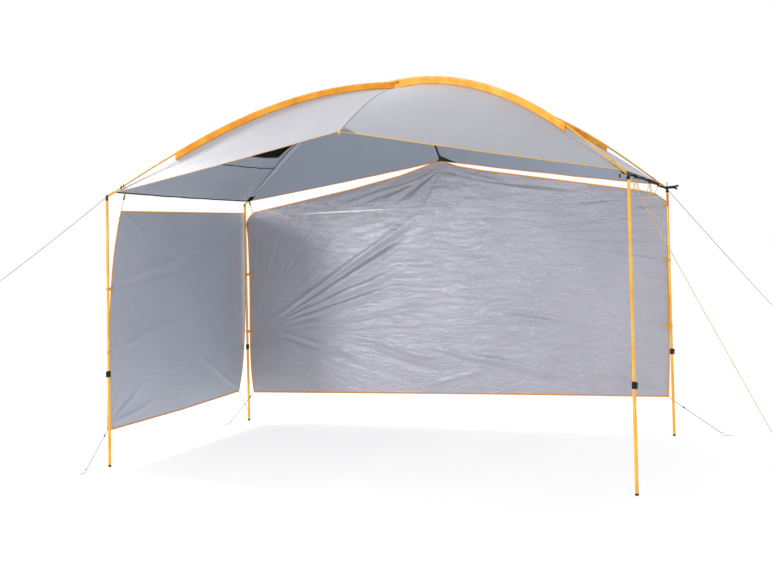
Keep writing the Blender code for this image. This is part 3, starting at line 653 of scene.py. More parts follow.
def build_stage():
    world = bpy.data.worlds.new("studio")
    world.use_nodes = True
    background = world.node_tree.nodes["Background"]
    background.inputs["Color"].default_value = (1.0, 1.0, 1.0, 1.0)
    background.inputs["Strength"].default_value = 1.0
    bpy.context.scene.world = world
    bpy.context.scene.view_settings.view_transform = "Standard"
    build_lamp("key", (-4.9, -9.0, 2.3), (0.2, 0.5, 1.2), (1.5, 1.8), 285.0)
    build_lamp("left", (-8.0, 2.0, 7.2), (0.0, -0.3, 2.3), (2.5, 2.5), 690.0)
    # the floor glows a little, so that thin cords don't vanish in an overexposed one
    g = Graph("pale_floor")
    tone = g.ramp(g.noise(g.where, 3.0, 4.0), (0.3, (0.29, 0.29, 0.29)), (0.7, (0.31, 0.31, 0.31)))
    g.finish(tone, 0.9, (0.0, 0.0, 0.0), **{"Emission Color": (1.0, 1.0, 1.0), "Emission Strength": 0.70})
    reach, level = 60.0, -0.002
    corners = [(x * reach, y * reach, level) for x, y in ((-1, -1), (1, -1), (1, 1), (-1, 1))]
    add_mesh("floor", corners, [(0, 1, 2, 3)], [g.material])


build_camera()
build_stage()

# ---------------------------------------------------------------- cords: guylines and wall ties
# each guyline: its heading in degrees, how far it runs, how far it falls, and its cord
GUYLINES = {
    "front_left": (225.0, 0.773, 0.598, CORD_AMBER),
    "front_right": (315.0, 1.180, 1.416, CORD_YELLOW),
    "back_right": (45.0, 1.108, 0.990, CORD_DARK),
}
# each tie: its wall, the wall's corner along and up it, its peg on the ground, and whether it has a slider
TIES = {
    "front_left": ("left", (-1.050, 0.246), (-1.858, -1.296), True),
    "back_left_outer": ("left", (0.940, 0.272), (-1.965, 1.348), False),
    "back_left_inner": ("back", (-1.782, 0.245), (-1.891, 0.860), True),
    "back_right": ("back", (1.780, 0.295), (2.169, 1.156), True),
}


def wall_matrix(side):
    """A wall's own axes: along it, up it, and square to it."""
    lean = math.atan(LEAN)
    if side == "left":
        foot = Vector((-(HALF_LENGTH + FOOT_SPLAY + WALL_OFFSET), 0.0, 0.0))
        along = Vector((0.0, 1.0, 0.0))
        up = Vector((math.sin(lean), 0.0, math.cos(lean)))
    else:
        foot = Vector((0.0, HALF_WIDTH + FOOT_SPLAY + WALL_OFFSET, 0.0))
        along = Vector((1.0, 0.0, 0.0))
        up = Vector((0.0, -math.sin(lean), math.cos(lean)))
    axes = Matrix((along, up, along.cross(up))).transposed().to_4x4()
    return Matrix.Translation(foot) @ axes


def free_cord(name, route, radius, material):
    """A limp cord along its route."""
    cord = rope(name, route, radius, material)
    return cord


def build_guyline(name):
    heading, run, fall, material = GUYLINES[name]
    side_x, side_y = SIDES[name]
    outwards = around(math.radians(heading))
    top = Vector((side_x * HALF_LENGTH, side_y * HALF_WIDTH, 1.890))
    end = top + outwards * run - UP * fall
    along = (end - top).normalized()
    start = top + along * (0.0117 / along.dot(outwards))
    sag = 0.006
    shares = [step / 24 for step in range(25)]
    route = [start.lerp(end, t) - UP * (sag * 4.0 * t * (1.0 - t)) for t in shares]
    cord = free_cord(f"guyline_cord_{name}", route, 0.0019, material)
    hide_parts(f"guyline_{name}")


def build_tie(name):
    wall, (along_wall, height), peg, slider = TIES[name]
    corner = wall_matrix(wall) @ Vector((along_wall, height, 0.0))
    hook = Vector((*peg, 0.016))
    along = (hook - corner).normalized()
    start = corner + along * 0.006
    end = hook - along * 0.00465
    route = [start.lerp(end, step / 18) for step in range(19)]
    cord = free_cord(f"wall_tie_cord_{name}", route, 0.0020, CORD_BROWN)
    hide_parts(f"wall_tie_{name}")


for name in GUYLINES:
    build_guyline(name)
for name in TIES:
    build_tie(name)

# ---------------------------------------------------------------- canopy
ROWS = 100
COLUMNS = 200
VENT_DOWN = (0.50, 0.685)
VENT_ACROSS = (0.125, 0.875)
FLAP_SEAM_DOWN = 0.763
EAVE_LENGTH = 3.49
# folds of the canopy, in plan
CANOPY_FOLDS = {
    (0.25, 0.5): (
        (1.60, -0.95, 0.70, -0.62, 0.0040, 0.022), (1.60, -0.95, 0.80, -0.75, -0.0032, 0.020),
        (1.55, -0.94, 0.95, -0.50, 0.0030, 0.018), (1.50, -0.93, 0.50, -0.80, 0.0026, 0.020),
        (-1.60, -0.96, -0.70, -0.72, 0.0040, 0.024), (-1.60, -0.96, -0.90, -0.58, -0.0035, 0.022),
        (-1.50, -0.95, -0.45, -0.86, 0.0030, 0.022),
    ),
    (0.3, 0.4): (
        (-1.35, -0.78, -0.60, -0.38, 0.0030, 0.016),
    ),
    (0.2, 0.5): (
        (-1.62, 0.90, -0.90, 0.30, 0.0032, 0.026), (-1.62, 0.86, -1.10, 0.10, -0.0030, 0.026),
        (-1.60, 0.95, -0.60, 0.80, 0.0036, 0.026), (1.62, 0.92, 0.80, 0.70, 0.0036, 0.026),
        (1.65, 0.85, 1.10, 0.20, 0.0032, 0.026),
    ),
    (0.2, 0.6): (
        (0.0, 1.02, -0.35, 0.55, 0.0030, 0.022), (0.0, 1.02, 0.40, 0.60, 0.0030, 0.022),
    ),
}


def shaped(points):
    """Adds the canopy's pulled folds and slight unevenness to points, as heights."""
    x, y = points[..., 0], points[..., 1]
    bend_x = x + 0.012 * wobble(x, y, 2.2, 3.0)
    bend_y = y + 0.012 * wobble(x, y, 2.2, 7.0)
    seam = np.abs(np.abs(x) / HALF_LENGTH - np.abs(y) / HALF_WIDTH)
    lift = ridge_field(bend_x, bend_y, CANOPY_FOLDS) + 0.0022 * wobble(x, y, 5.0, 1.0)
    points = points.copy()
    points[..., 2] += lift * ease(seam, 0.0, 0.05)
    return points


def build_canopy():
    """One continuous cloth: four panels that share the points of their sewn seams."""
    down = np.linspace(0.0, 1.0, ROWS + 1)[1:]
    down[np.abs(down - VENT_DOWN[1]).argmin()] = VENT_DOWN[1]
    across = np.linspace(0.0, 1.0, COLUMNS + 1)
    points = [(0.0, 0.0, CANOPY_APEX)]
    uvs = [(0.0, 0.0)]
    seams = {}
    faces = []
    for name, (first, second, *_) in PANELS.items():
        grid = shaped(panel_points(name, down[:, None], across[None, :]))
        index = np.zeros((ROWS, COLUMNS + 1), np.int64)
        for j in range(COLUMNS + 1):
            seam = {0: first, COLUMNS: second}.get(j)
            if seam in seams:
                index[:, j] = seams[seam]
                continue
            start = len(points)
            points.extend(grid[:, j])
            uvs.extend(grid[:, j, :2])
            index[:, j] = np.arange(start, start + ROWS)
            if seam is not None:
                seams[seam] = index[:, j].copy()
        for i in range(-1, ROWS - 1):
            in_rows = i >= 0 and VENT_DOWN[0] - 1e-6 <= down[i] < VENT_DOWN[1] - 1e-6
            for j in range(COLUMNS):
                in_columns = VENT_ACROSS[0] - 1e-6 <= across[j] < VENT_ACROSS[1] - 1e-6
                if name == "left" and in_rows and in_columns:
                    continue
                if i < 0:
                    face = (0, index[0, j], index[0, j + 1])
                else:
                    face = (index[i, j], index[i + 1, j], index[i + 1, j + 1], index[i, j + 1])
                faces.append(tuple(int(k) for k in (reversed(face) if name in ("back", "left") else face)))
    cloth = add_mesh("canopy_cloth", points, faces, [CANOPY_OUTER, CANOPY_INNER], uvs)
    solidify(cloth, 0.0010, 1)
    return settle(cloth, "canopy_fabric", "canopy_front", "canopy_back", "canopy_left", "canopy_right")


def upwards(normal):
    """Normals made unit length and turned to the upper side."""
    normal = normal / np.maximum(np.linalg.norm(normal, axis=-1, keepdims=True), 1e-12)
    return normal * np.where(normal[..., 2:] < 0.0, -1.0, 1.0)


def surface(name, down, across, offset=0.0):
    """Points of the shaped canopy, moved along its normal by offset."""
    here = shaped(panel_points(name, down, across))
    step = 0.004
    a = shaped(panel_points(name, np.asarray(down) + step, across)) - here
    b = shaped(panel_points(name, down, np.asarray(across) + step)) - here
    return here + upwards(np.cross(a, b)) * offset


def cloth_strip(name, rows, thickness, material, slot):
    """A strip of cloth or tape through rows of points, all of one length."""
    rows = np.asarray(rows, float)
    count, across = rows.shape[:2]
    steps = np.linalg.norm(np.diff(rows[:, across // 2], axis=0), axis=1)
    lengths = np.concatenate([[0.0], np.cumsum(steps)])
    uvs = [(lengths[i], j / (across - 1)) for i in range(count) for j in range(across)]
    obj = add_mesh(name, rows.reshape(-1, 3), grid_faces(count, across), [material], uvs)
    solidify(obj, thickness, 0, 0.0)
    return settle(obj, slot)


def edge_point(panel_side, down, reach, offset=-0.0030):
    """A point under a panel, at a distance in metres from its seam."""
    panel, end = panel_side
    ends = panel_points(panel, down, np.array([0.0, 0.5, 1.0]))
    width = np.linalg.norm(ends[1] - ends[0]) + np.linalg.norm(ends[2] - ends[1])
    share = min(reach / width, 0.45)
    return surface(panel, down, share if end == 0.0 else 1.0 - share, offset)


def build_seam_tapes():
    """Tape under each diagonal seam, folded over the ridge where two panels meet, and its corner patch."""
    half = 0.012
    joins = {
        "front_left": (("front", 0.0), ("left", 0.0)),
        "front_right": (("front", 1.0), ("right", 0.0)),
        "back_left": (("back", 0.0), ("left", 1.0)),
        "back_right": (("back", 1.0), ("right", 1.0)),
    }
    tapes = []
    for corner, (one, two) in joins.items():
        rows = []
        for down in np.linspace(0.06, 0.995, 90):
            wide = half
            if corner == "back_left":
                wide = 0.020 + 0.085 * float(ease(down, 1.0, 0.62))
            row = [edge_point(one, down, half * step) for step in (1.0, 0.5)]
            row.append((edge_point(one, down, 0.002) + edge_point(two, down, 0.002)) / 2.0)
            steps = (0.25, 0.5, 0.75, 1.0) if wide > half else (0.5, 1.0)
            rows.append(row + [edge_point(two, down, wide * step) for step in steps])
        tapes.append(cloth_strip(f"seam_tape_{corner}", rows, 0.0008, SEAM_TAPE, "canopy_fabric"))
        rows = []
        for down in np.linspace(0.968, 0.997, 8):
            row = [edge_point(one, down, reach, -0.0046) for reach in (0.030, 0.016, 0.002)]
            rows.append(row + [edge_point(two, down, reach, -0.0046) for reach in (0.002, 0.016, 0.030)])
        tapes.append(cloth_strip(f"corner_patch_{corner}", rows, 0.0010, WEB_BLACK, "webbing"))
    return tapes


def build_vent():
    """The net in the left panel's opening, the trims at its edges and the flap's seam below it."""
    down = np.linspace(VENT_DOWN[0] - 0.004, VENT_DOWN[1] + 0.004, 14)
    across = np.linspace(VENT_ACROSS[0] - 0.004, VENT_ACROSS[1] + 0.004, 90)
    grid = surface("left", down[:, None], across[None, :], -0.0022)
    uvs = grid[..., :2].reshape(-1, 2)
    net = add_mesh("vent_net", grid.reshape(-1, 3), grid_faces(14, 90), [NETTING], uvs)
    solidify(net, 0.0005)
    settle(net, "vent_mesh", "vent_mesh")
    inside = np.linspace(*VENT_ACROSS, 90)
    whole = np.linspace(0.01, 0.99, 110)
    trims = []
    for name, at, across, offset, shifts in (
        ("vent_edge_top", VENT_DOWN[0], inside, -0.0034, (-0.005, 0.0, 0.005)),
        ("vent_edge_bottom", VENT_DOWN[1], inside, -0.0034, (-0.005, 0.0, 0.005)),
        ("vent_flap_seam", FLAP_SEAM_DOWN, whole, -0.0024, (-0.0025, 0.0025)),
    ):
        rows = np.stack([surface("left", at + shift, across, offset) for shift in shifts], 1)
        trims.append(cloth_strip(name, rows, 0.0008, BIND_DARK, "canopy_fabric"))
    return trims


# each hem: its panel, the part of the eave that it runs along, its width and its material
HEMS = {
    "hem_front_left_half": ("front", 0.0, 0.5, 0.007, BIND_PEACH),
    "hem_front_right_half": ("front", 0.5, 1.0, 0.008, BIND_YELLOW),
    "hem_back": ("back", 0.0, 1.0, 0.009, BIND_ORANGE),
    "hem_left": ("left", 0.0, 1.0, 0.012, BIND_DARK),
    "hem_right": ("right", 0.0, 1.0, 0.007, WEB_BLACK),
}


def build_hems():
    """Binding folded over the canopy's edge: up one side, round and down the other."""
    hems = []
    for name, (panel, start, end, width, material) in HEMS.items():
        across = np.linspace(start, end, 160)
        edge = surface(panel, 1.0, across, 0.0)
        inwards = surface(panel, 1.0 - 0.010, across, 0.0) - edge
        inwards /= np.linalg.norm(inwards, axis=1, keepdims=True)
        normal = upwards(np.cross(inwards, np.gradient(edge, axis=0)))
        upper = [(width, 0.0010), (0.0010, 0.0013), (-0.0012, 0.0006)]
        section = upper + [(-0.0012, -0.0020), (0.0010, -0.0028), (width, -0.0025)]
        axes = ([Vector(v) for v in vectors] for vectors in (inwards, normal))
        hems.append(sweep(name, edge, *axes, section, material, "canopy_fabric"))
    return hems


CANOPY = build_canopy()
CANOPY_TRIM = build_seam_tapes() + build_vent() + build_hems()


# ---------------------------------------------------------------- sleeves
def build_sleeve(name, slant, apex, start, end, node):
    """A fabric tunnel round the pole, with a fin of two layers down to the canopy's seam."""
    count = int(abs(end - start) * 2.07 / 0.010)
    side = Vector((HALF_WIDTH, -slant * HALF_LENGTH, 0.0)).normalized()
    points, uvs, centres = [], [], []
    for share in np.linspace(start, end, count):
        centre = Vector((share * HALF_LENGTH, slant * share * HALF_WIDTH, float(pole_height(share, apex))))
        centres.append(centre)
        length = line_length(centres)
        full = float(pole_height(share, apex) - seam_height(share)) + 0.001
        depth = SLEEVE_RADIUS + (full - SLEEVE_RADIUS) * float(ease(abs(share), 0.012, SLEEVE_SPLIT))
        wave = 0.0016 * noise.noise((share * 30.0, slant, 1.0)) * min(1.0, (depth - SLEEVE_RADIUS) / 0.02)
        radius = SLEEVE_RADIUS + 0.0008 * noise.noise((share * 55.0, slant, 5.0))
        section = [(0.0012, -depth), (0.0016 + wave, -depth * 0.80), (0.0030 + wave, -depth * 0.55)]
        section.append((0.0062 + 0.5 * wave, -0.0125))
        for degrees in (-15, 15, 45, 70, 90, 110, 135, 165, 195):
            angle = math.radians(degrees)
            section.append((radius * math.cos(angle), radius * math.sin(angle)))
        section += [(-0.0062 + 0.5 * wave, -0.0125), (-0.0030 + wave, -depth * 0.55)]
        section += [(-0.0016 + wave, -depth * 0.80), (-0.0012, -depth)]
        for k, (x, z) in enumerate(section):
            points.append(centre + side * x + UP * z)
            uvs.append((length, k / (len(section) - 1)))
    obj = add_mesh(name, points, grid_faces(count, len(section)), [SLEEVE], uvs)
    solidify(obj, 0.0006, 0, 1.0)
    settle(obj, "sleeve_fabric", node)


build_sleeve("upper_sleeve_cloth", -1, UPPER_APEX, -SLEEVE_END, SLEEVE_END, "upper_sleeve")
build_sleeve("lower_sleeve_cloth_left", 1, LOWER_APEX, -SLEEVE_END, -SLEEVE_SPLIT, "lower_sleeve_left")
build_sleeve("lower_sleeve_cloth_right", 1, LOWER_APEX, SLEEVE_SPLIT, SLEEVE_END, "lower_sleeve_right")


def build_crossing():
    """The upper sleeve's fin where the lower pole passes through it, between that pole and the cloth."""
    rows = []
    for share in np.linspace(-0.026, 0.026, 27):
        low = float(seam_height(share)) - 0.002
        high = 2.6755 + 0.0190 * float(ease(abs(share), 0.003, 0.006))
        heights = [low + (high - low) * k / 4 for k in range(5)]
        rows.append([(share * HALF_LENGTH, -share * HALF_WIDTH, height) for height in heights])
    cloth_strip("crossing_fin", rows, 0.0030, SLEEVE, "sleeve_fabric")


build_crossing()

# ---------------------------------------------------------------- walls
# the four edges of each wall, along it and up it, in metres
WALLS = {
    "left": {
        "bottom": [(-1.050, 0.246), (0.000, 0.250), (0.940, 0.272)],
        "right": [
            (0.940, 0.272), (1.019, 0.493), (1.060, 0.760), (1.086, 1.100), (1.090, 1.590),
            (1.085, 1.822),
        ],
        "top": [(-0.826, 1.797), (1.085, 1.822)],
        "left": [
            (-1.050, 0.246), (-1.020, 0.760), (-0.985, 1.130), (-0.938, 1.434), (-0.870, 1.680),
            (-0.826, 1.797),
        ],
    },
    "back": {
        "bottom": [(-1.782, 0.245), (-0.416, 0.268), (0.446, 0.281), (1.784, 0.295)],
        "right": [
            (1.784, 0.295), (1.795, 0.660), (1.796, 1.100), (1.798, 1.580), (1.796, 1.771),
            (1.775, 1.810),
        ],
        "top": [
            (-1.731, 1.824), (-0.815, 1.989), (-0.365, 2.087), (-0.160, 2.150), (-0.050, 2.190),
            (0.010, 2.190), (0.130, 2.145), (0.321, 2.104), (0.890, 2.010), (1.588, 1.893),
            (1.701, 1.866), (1.775, 1.810),
        ],
        "left": [
            (-1.782, 0.245), (-1.800, 0.443), (-1.802, 0.708), (-1.788, 1.250), (-1.790, 1.600),
            (-1.797, 1.740), (-1.731, 1.824),
        ],
    },
}
# folds of the walls, along and up them; heights above zero stand towards the inside
WALL_FOLDS = {
    "back": {
        (0.35, 0.25): (
            (-1.72, 0.80, -0.10, 1.80, 0.0130, 0.034), (-1.66, 0.82, -0.14, 1.72, -0.0100, 0.030),
        ),
        (0.35, 0.3): (
            (-1.60, 0.84, -0.26, 1.57, 0.0090, 0.026),
        ),
        (0.3, 0.3): (
            (-1.06, 1.18, -0.36, 1.61, -0.0080, 0.030),
        ),
        (0.35, 0.35): (
            (-1.66, 0.82, -0.22, 1.45, -0.0060, 0.022), (-1.64, 0.83, -0.22, 1.37, 0.0070, 0.022),
            (-1.60, 0.82, -0.23, 1.30, -0.0055, 0.020), (-1.60, 0.81, -0.30, 1.22, 0.0060, 0.020),
            (-1.60, 0.80, -0.30, 1.13, -0.0050, 0.018), (-1.55, 0.82, -0.60, 1.36, 0.0050, 0.016),
            (-1.50, 0.80, -0.10, 1.06, 0.0046, 0.017), (-1.50, 0.79, 0.00, 0.97, -0.0040, 0.017),
            (-1.45, 0.78, 0.10, 0.87, 0.0040, 0.016),
        ),
        (0.25, 0.4): (
            (-1.60, 0.78, -0.60, 0.45, -0.0090, 0.026), (-1.58, 0.80, -0.70, 0.56, 0.0080, 0.024),
            (-1.50, 0.76, -0.95, 0.40, 0.0060, 0.024),
        ),
        (0.25, 0.45): (
            (-1.60, 0.77, -1.15, 0.34, 0.0060, 0.028),
        ),
        (0.3, 0.4): (
            (-0.95, 0.78, 0.20, 0.50, 0.0085, 0.030), (-0.90, 0.70, 0.10, 0.40, -0.0060, 0.026),
            (-0.25, 0.68, 0.70, 0.48, 0.0080, 0.028), (0.00, 0.60, 1.10, 0.33, -0.0075, 0.026),
            (0.05, 0.64, 1.15, 0.40, 0.0070, 0.026), (0.40, 0.99, 1.15, 0.86, -0.0050, 0.018),
            (0.38, 0.95, 1.12, 0.82, 0.0050, 0.018), (0.37, 0.75, 0.92, 0.65, -0.0046, 0.016),
            (-0.20, 0.33, 0.44, 0.53, 0.0050, 0.020),
        ),
        (0.15, 0.3): (
            (-0.03, 2.125, -0.57, 1.84, 0.0075, 0.020), (-0.03, 2.115, -0.47, 1.83, -0.0070, 0.018),
            (-0.02, 2.115, -0.36, 1.81, 0.0070, 0.018), (-0.02, 2.110, -0.20, 1.80, -0.0050, 0.018),
        ),
        (0.15, 0.35): (
            (-0.08, 2.080, -1.04, 1.81, 0.0055, 0.016), (-0.10, 2.060, -0.85, 1.82, -0.0050, 0.016),
            (0.02, 2.110, 0.38, 2.03, -0.0060, 0.016), (0.06, 2.105, 0.62, 1.98, 0.0055, 0.016),
        ),
        (0.2, 0.35): (
            (0.20, 2.050, 1.34, 1.87, -0.0045, 0.016), (0.10, 2.060, 1.10, 1.86, 0.0045, 0.016),
        ),
        (0.2, 0.5): (
            (1.70, 1.83, 0.90, 1.76, 0.0050, 0.018), (1.72, 1.80, 1.00, 1.62, -0.0045, 0.018),
            (1.76, 1.35, 1.20, 1.42, 0.0045, 0.016), (1.76, 0.85, 1.20, 0.95, 0.0045, 0.016),
            (1.74, 0.34, 1.10, 0.52, 0.0055, 0.018), (1.74, 0.33, 1.30, 0.70, -0.0045, 0.018),
        ),
    },
    "left": {
        (0.25, 0.45): (
            (-0.95, 1.28, 0.49, 1.55, 0.0050, 0.030), (-0.94, 1.24, 0.25, 1.42, -0.0045, 0.026),
        ),
        (0.25, 0.5): (
            (-1.00, 0.80, 0.10, 1.00, 0.0040, 0.030),
        ),
        (0.15, 0.5): (
            (-1.03, 0.27, -0.50, 0.57, 0.0075, 0.022), (-1.03, 0.27, -0.66, 0.52, -0.0065, 0.020),
            (-1.03, 0.27, -0.32, 0.39, 0.0060, 0.020), (-1.03, 0.28, -0.81, 0.58, 0.0055, 0.018),
            (-0.82, 1.78, -0.47, 1.60, 0.0050, 0.020), (0.93, 0.29, 0.12, 0.72, 0.0050, 0.026),
            (1.05, 1.80, 0.40, 1.55, 0.0045, 0.026),
        ),
    },
}


def along_line(points, shares):
    """Points of a broken line at shares 0 to 1 of its length."""
    line = np.array(points, float)
    at = np.concatenate([[0.0], np.cumsum(np.linalg.norm(np.diff(line, axis=0), axis=1))])
    at /= at[-1]
    return np.stack([np.interp(shares, at, line[:, k]) for k in range(2)], -1)


def rounded(points, steps=8):
    """A broken line made smooth, through the same points."""
    return [(p.x, p.y) for p in curve_through([(x, y, 0.0) for x, y in points], steps)]


def wall_grid(edges, columns, rows):
    """Points of a wall, spread evenly between its four edges."""
    u = np.linspace(0.0, 1.0, columns)
    v = np.linspace(0.0, 1.0, rows)
    low = along_line(edges["bottom"], u)[None, :, :]
    high = along_line(edges["top"], u)[None, :, :]
    left = along_line(rounded(edges["left"]), v)[:, None, :]
    right = along_line(rounded(edges["right"]), v)[:, None, :]
    u = u[None, :, None]
    v = v[:, None, None]
    lower = (1 - u) * low[:, :1] + u * low[:, -1:]
    upper = (1 - u) * high[:, :1] + u * high[:, -1:]
    return (1 - v) * (low - lower) + v * (high - upper) + (1 - u) * left + u * right


def wall_relief(side, x, z, edge):
    """How far the cloth stands off its plane, in metres towards the inside."""
    bent_x = x + 0.022 * wobble(x, z, 2.6, 11.0)
    bent_z = z + 0.022 * wobble(x, z, 2.6, 17.0)
    folds = ridge_field(bent_x, bent_z, WALL_FOLDS[side])
    if side == "back":
        ripple = 0.0030 * wobble(x * 0.30 + 0.25 * z, z * 2.3, 9.0, 21.0)
        folds = folds + ripple * ease(x, -0.7, 0.3) * ease(z, 0.35, 0.7) + 0.0035 * wobble(x, z, 3.0, 5.0)
    else:
        folds = folds + 0.0035 * wobble(x, z, 2.4, 29.0)
    return folds * ease(edge, 0.0, 0.05)


def build_wall(side, columns, rows):
    """A wall's cloth on a grid between its edges, with its relief, and the binding round it."""
    grid = wall_grid(WALLS[side], columns, rows)
    x, z = grid[..., 0], grid[..., 1]
    u = np.linspace(0.0, 1.0, columns)[None, :]
    v = np.linspace(0.0, 1.0, rows)[:, None]
    edge = np.minimum(np.minimum(u, 1.0 - u) * np.ptp(x), np.minimum(v, 1.0 - v) * np.ptp(z))
    relief = wall_relief(side, x, z, edge)
    place = np.array(wall_matrix(side))
    inside = np.sign(place[0, 2]) if side == "left" else -np.sign(place[1, 2])
    local = np.stack([x, z, relief * inside, np.ones_like(x)], -1)
    points = (local @ place.T)[..., :3]
    faces = grid_faces(rows, columns)
    uvs = grid.reshape(-1, 2)
    cloth = add_mesh(f"{side}_wall_cloth", points.reshape(-1, 3), faces, [WALL_CLOTH[side]], uvs)
    solidify(cloth, 0.0008, 0, 0.0)
    settle(cloth, "wall_fabric", f"{side}_wall")
    outline = np.concatenate([points[0, :-1], points[:-1, -1], points[-1, :0:-1], points[:0:-1, 0]])
    binding = build_binding(side, outline)


def build_binding(side, outline):
    """Binding sewn round a wall's whole edge."""
    along = np.roll(outline, -1, axis=0) - np.roll(outline, 1, axis=0)
    normal = np.repeat(np.array(wall_matrix(side))[:3, 2][None, :], len(outline), 0)
    inwards = np.cross(normal, along)
    inwards /= np.linalg.norm(inwards, axis=1, keepdims=True)
    if ((outline.mean(0) - outline) * inwards).sum() < 0.0:
        inwards = -inwards
    width = 0.010
    half = [(width, 0.0013), (0.0010, 0.0016), (-0.0010, 0.0007)]
    section = half + [(x, -y) for x, y in reversed(half)]
    axes = ([Vector(v) for v in vectors] for vectors in (inwards, normal))
    return sweep(f"{side}_wall_binding", outline, *axes, section, BIND_ORANGE, "wall_fabric", closed=True)


build_wall("back", 360, 190)
build_wall("left", 200, 160)


# ---------------------------------------------------------------- straps, loops and toggles
def leg_axis(name, height):
    """The point of a leg's axis at a height."""
    side_x, side_y = SIDES[name]
    out = FOOT_SPLAY * (1.0 - height / LEG_HEIGHT)
    return Vector((side_x * (HALF_LENGTH + out), side_y * (HALF_WIDTH + out), height))


def build_leg_band(name, label, wall, height, reach):
    """Webbing that wraps a leg, with both ends laid together and sewn to the wall's edge."""
    centre = leg_axis(name, height)
    side_x, side_y = SIDES[name]
    if wall == "left":
        inwards, outwards = Vector((0.0, -side_y, 0.0)), Vector((side_x, 0.0, 0.0))
    else:
        inwards, outwards = Vector((-side_x, 0.0, 0.0)), Vector((0.0, side_y, 0.0))
    radius, depth, sewn = 0.0112, WALL_OFFSET - 0.0026, 0.022
    spread = math.acos(radius / math.hypot(reach, depth))
    first = math.atan2(depth, reach) + spread
    path = [(reach + sewn, depth), (reach + 0.004, depth)]
    for step in range(19):
        angle = first + 2.0 * (math.pi - spread) * step / 18
        path.append((radius * math.cos(angle), radius * math.sin(angle)))
    path += [(reach + 0.004, depth - 0.0019), (reach + sewn, depth - 0.0019)]
    points = [centre + inwards * a + outwards * b for a, b in path]
    up = (leg_axis(name, LEG_HEIGHT) - leg_axis(name, 0.0)).normalized()
    band = strap(f"{label}_leg_band_{name}", points, up, 0.020, 0.0015, WEB_ORANGE)
    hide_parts(f"{label}_leg_strap_{name}")


# each band: leg, which one, its wall, its height, and how far along the wall its edge is from the leg
LEG_BANDS = [
    ("front_left", "lower", "left", 0.800, 0.042),
    ("front_left", "upper", "left", 1.245, 0.086),
    ("back_left", "lower", "back", 0.785, 0.015),
    ("back_left", "upper", "back", 1.285, 0.028),
    ("back_right", "lower", "back", 0.850, 0.033),
    ("back_right", "upper", "back", 1.350, 0.026),
]
for band in LEG_BANDS:
    build_leg_band(*band)


def build_toggle(name, middle, towards, scale=1.0):
    """A ribbed moulded barrel with a waist for its cord, its long axis towards a point."""
    waist = [(0.0037, 0.0), (0.0040, 0.12), (0.0052, 0.26), (0.0062, 0.42), (0.0052, 0.52), (0.0062, 0.62),
             (0.0058, 0.82), (0.0042, 1.0), (0.0015, 1.0)]
    half = 0.0125 * scale
    profile = [(radius, -share) for radius, share in reversed(waist[1:])] + waist
    profile = [(radius * scale, share * half) for radius, share in profile]
    turn = (Vector(towards) - Vector(middle)).to_track_quat("Z", "Y").to_matrix().to_4x4()
    return turned(name, profile, Matrix.Translation(middle) @ turn, BLACK_PLASTIC)


def webbing_loop(name, top, bottom, width_axis, material, width=0.012, gap=0.007):
    """A flat loop that hangs from top to bottom, its two legs a little apart."""
    top, bottom = Vector(top), Vector(bottom)
    down = bottom - top
    side = down.cross(width_axis).normalized() * gap / 2.0
    leg = [(0.0, 0.15), (0.25, 0.6), (0.55, 1.0), (0.80, 0.95), (0.94, 0.6)]
    route = [top + down * share + side * apart for share, apart in leg]
    route.append(bottom)
    route += [top + down * share - side * apart for share, apart in reversed(leg)]
    return strap(name, curve_through(route, 4), width_axis, width, 0.0013, material)


def build_wall_corner(name, eave, corner, loop_drop, width_axis, material):
    """A loop sewn to the eave, a toggle in it, and the cord that holds up a wall's corner."""
    corner = Vector(corner)
    line = (corner - eave).normalized()
    loop_end = eave + line * loop_drop
    webbing_loop(f"{name}_loop", eave, loop_end, Vector(width_axis), material)
    middle = loop_end + line * 0.010
    toggle = build_toggle(f"{name}_toggle", middle, corner)
    points = [corner, corner.lerp(middle, 0.5) - UP * 0.0008, middle + line * 0.013]
    free_cord(f"{name}_cord", curve_through(points), 0.0019, CORD_YELLOW)


def canopy_point(panel, down, along, offset=-0.004):
    """A point under a panel: down 0 to 1 from apex to eave, and its place along the eave in metres."""
    half = CORNER_SHARE * (HALF_LENGTH if panel in ("front", "back") else HALF_WIDTH)
    return Vector(surface(panel, down, (along / half + 1.0) / 2.0, offset))


# each corner cord: where its loop is on the canopy, the wall's corner, the loop's drop, its width's
# direction and its material
WALL_CORNERS = {
    "front_left_corner": (("left", 0.998, -0.880), (-1.8245, -0.826, 1.799), 0.030, (0, 1, 0), WEB_YELLOW),
    "back_left_corner": (("back", 0.998, -1.738), (-1.7310, 1.0680, 1.822), 0.018, (1, 0, 0), WEB_OLIVE),
    "back_peak": (("back", 0.944, 0.010), (-0.020, 1.0630, 2.188), 0.014, (1, 0, 0), WEB_OLIVE),
    "back_right_corner": (("right", 0.998, 0.880), (1.701, 1.0670, 1.868), 0.020, (0, 1, 0), WEB_BLACK),
}
for name, (eave, *rest) in WALL_CORNERS.items():
    build_wall_corner(name, canopy_point(*eave), *rest)

# toggles on the right eave: place along it, how far their cords hang, and the cords' width
EAVE_LOOPS = {"near": (-0.630, 0.105, 0.010), "middle": (-0.080, 0.147, 0.024)}


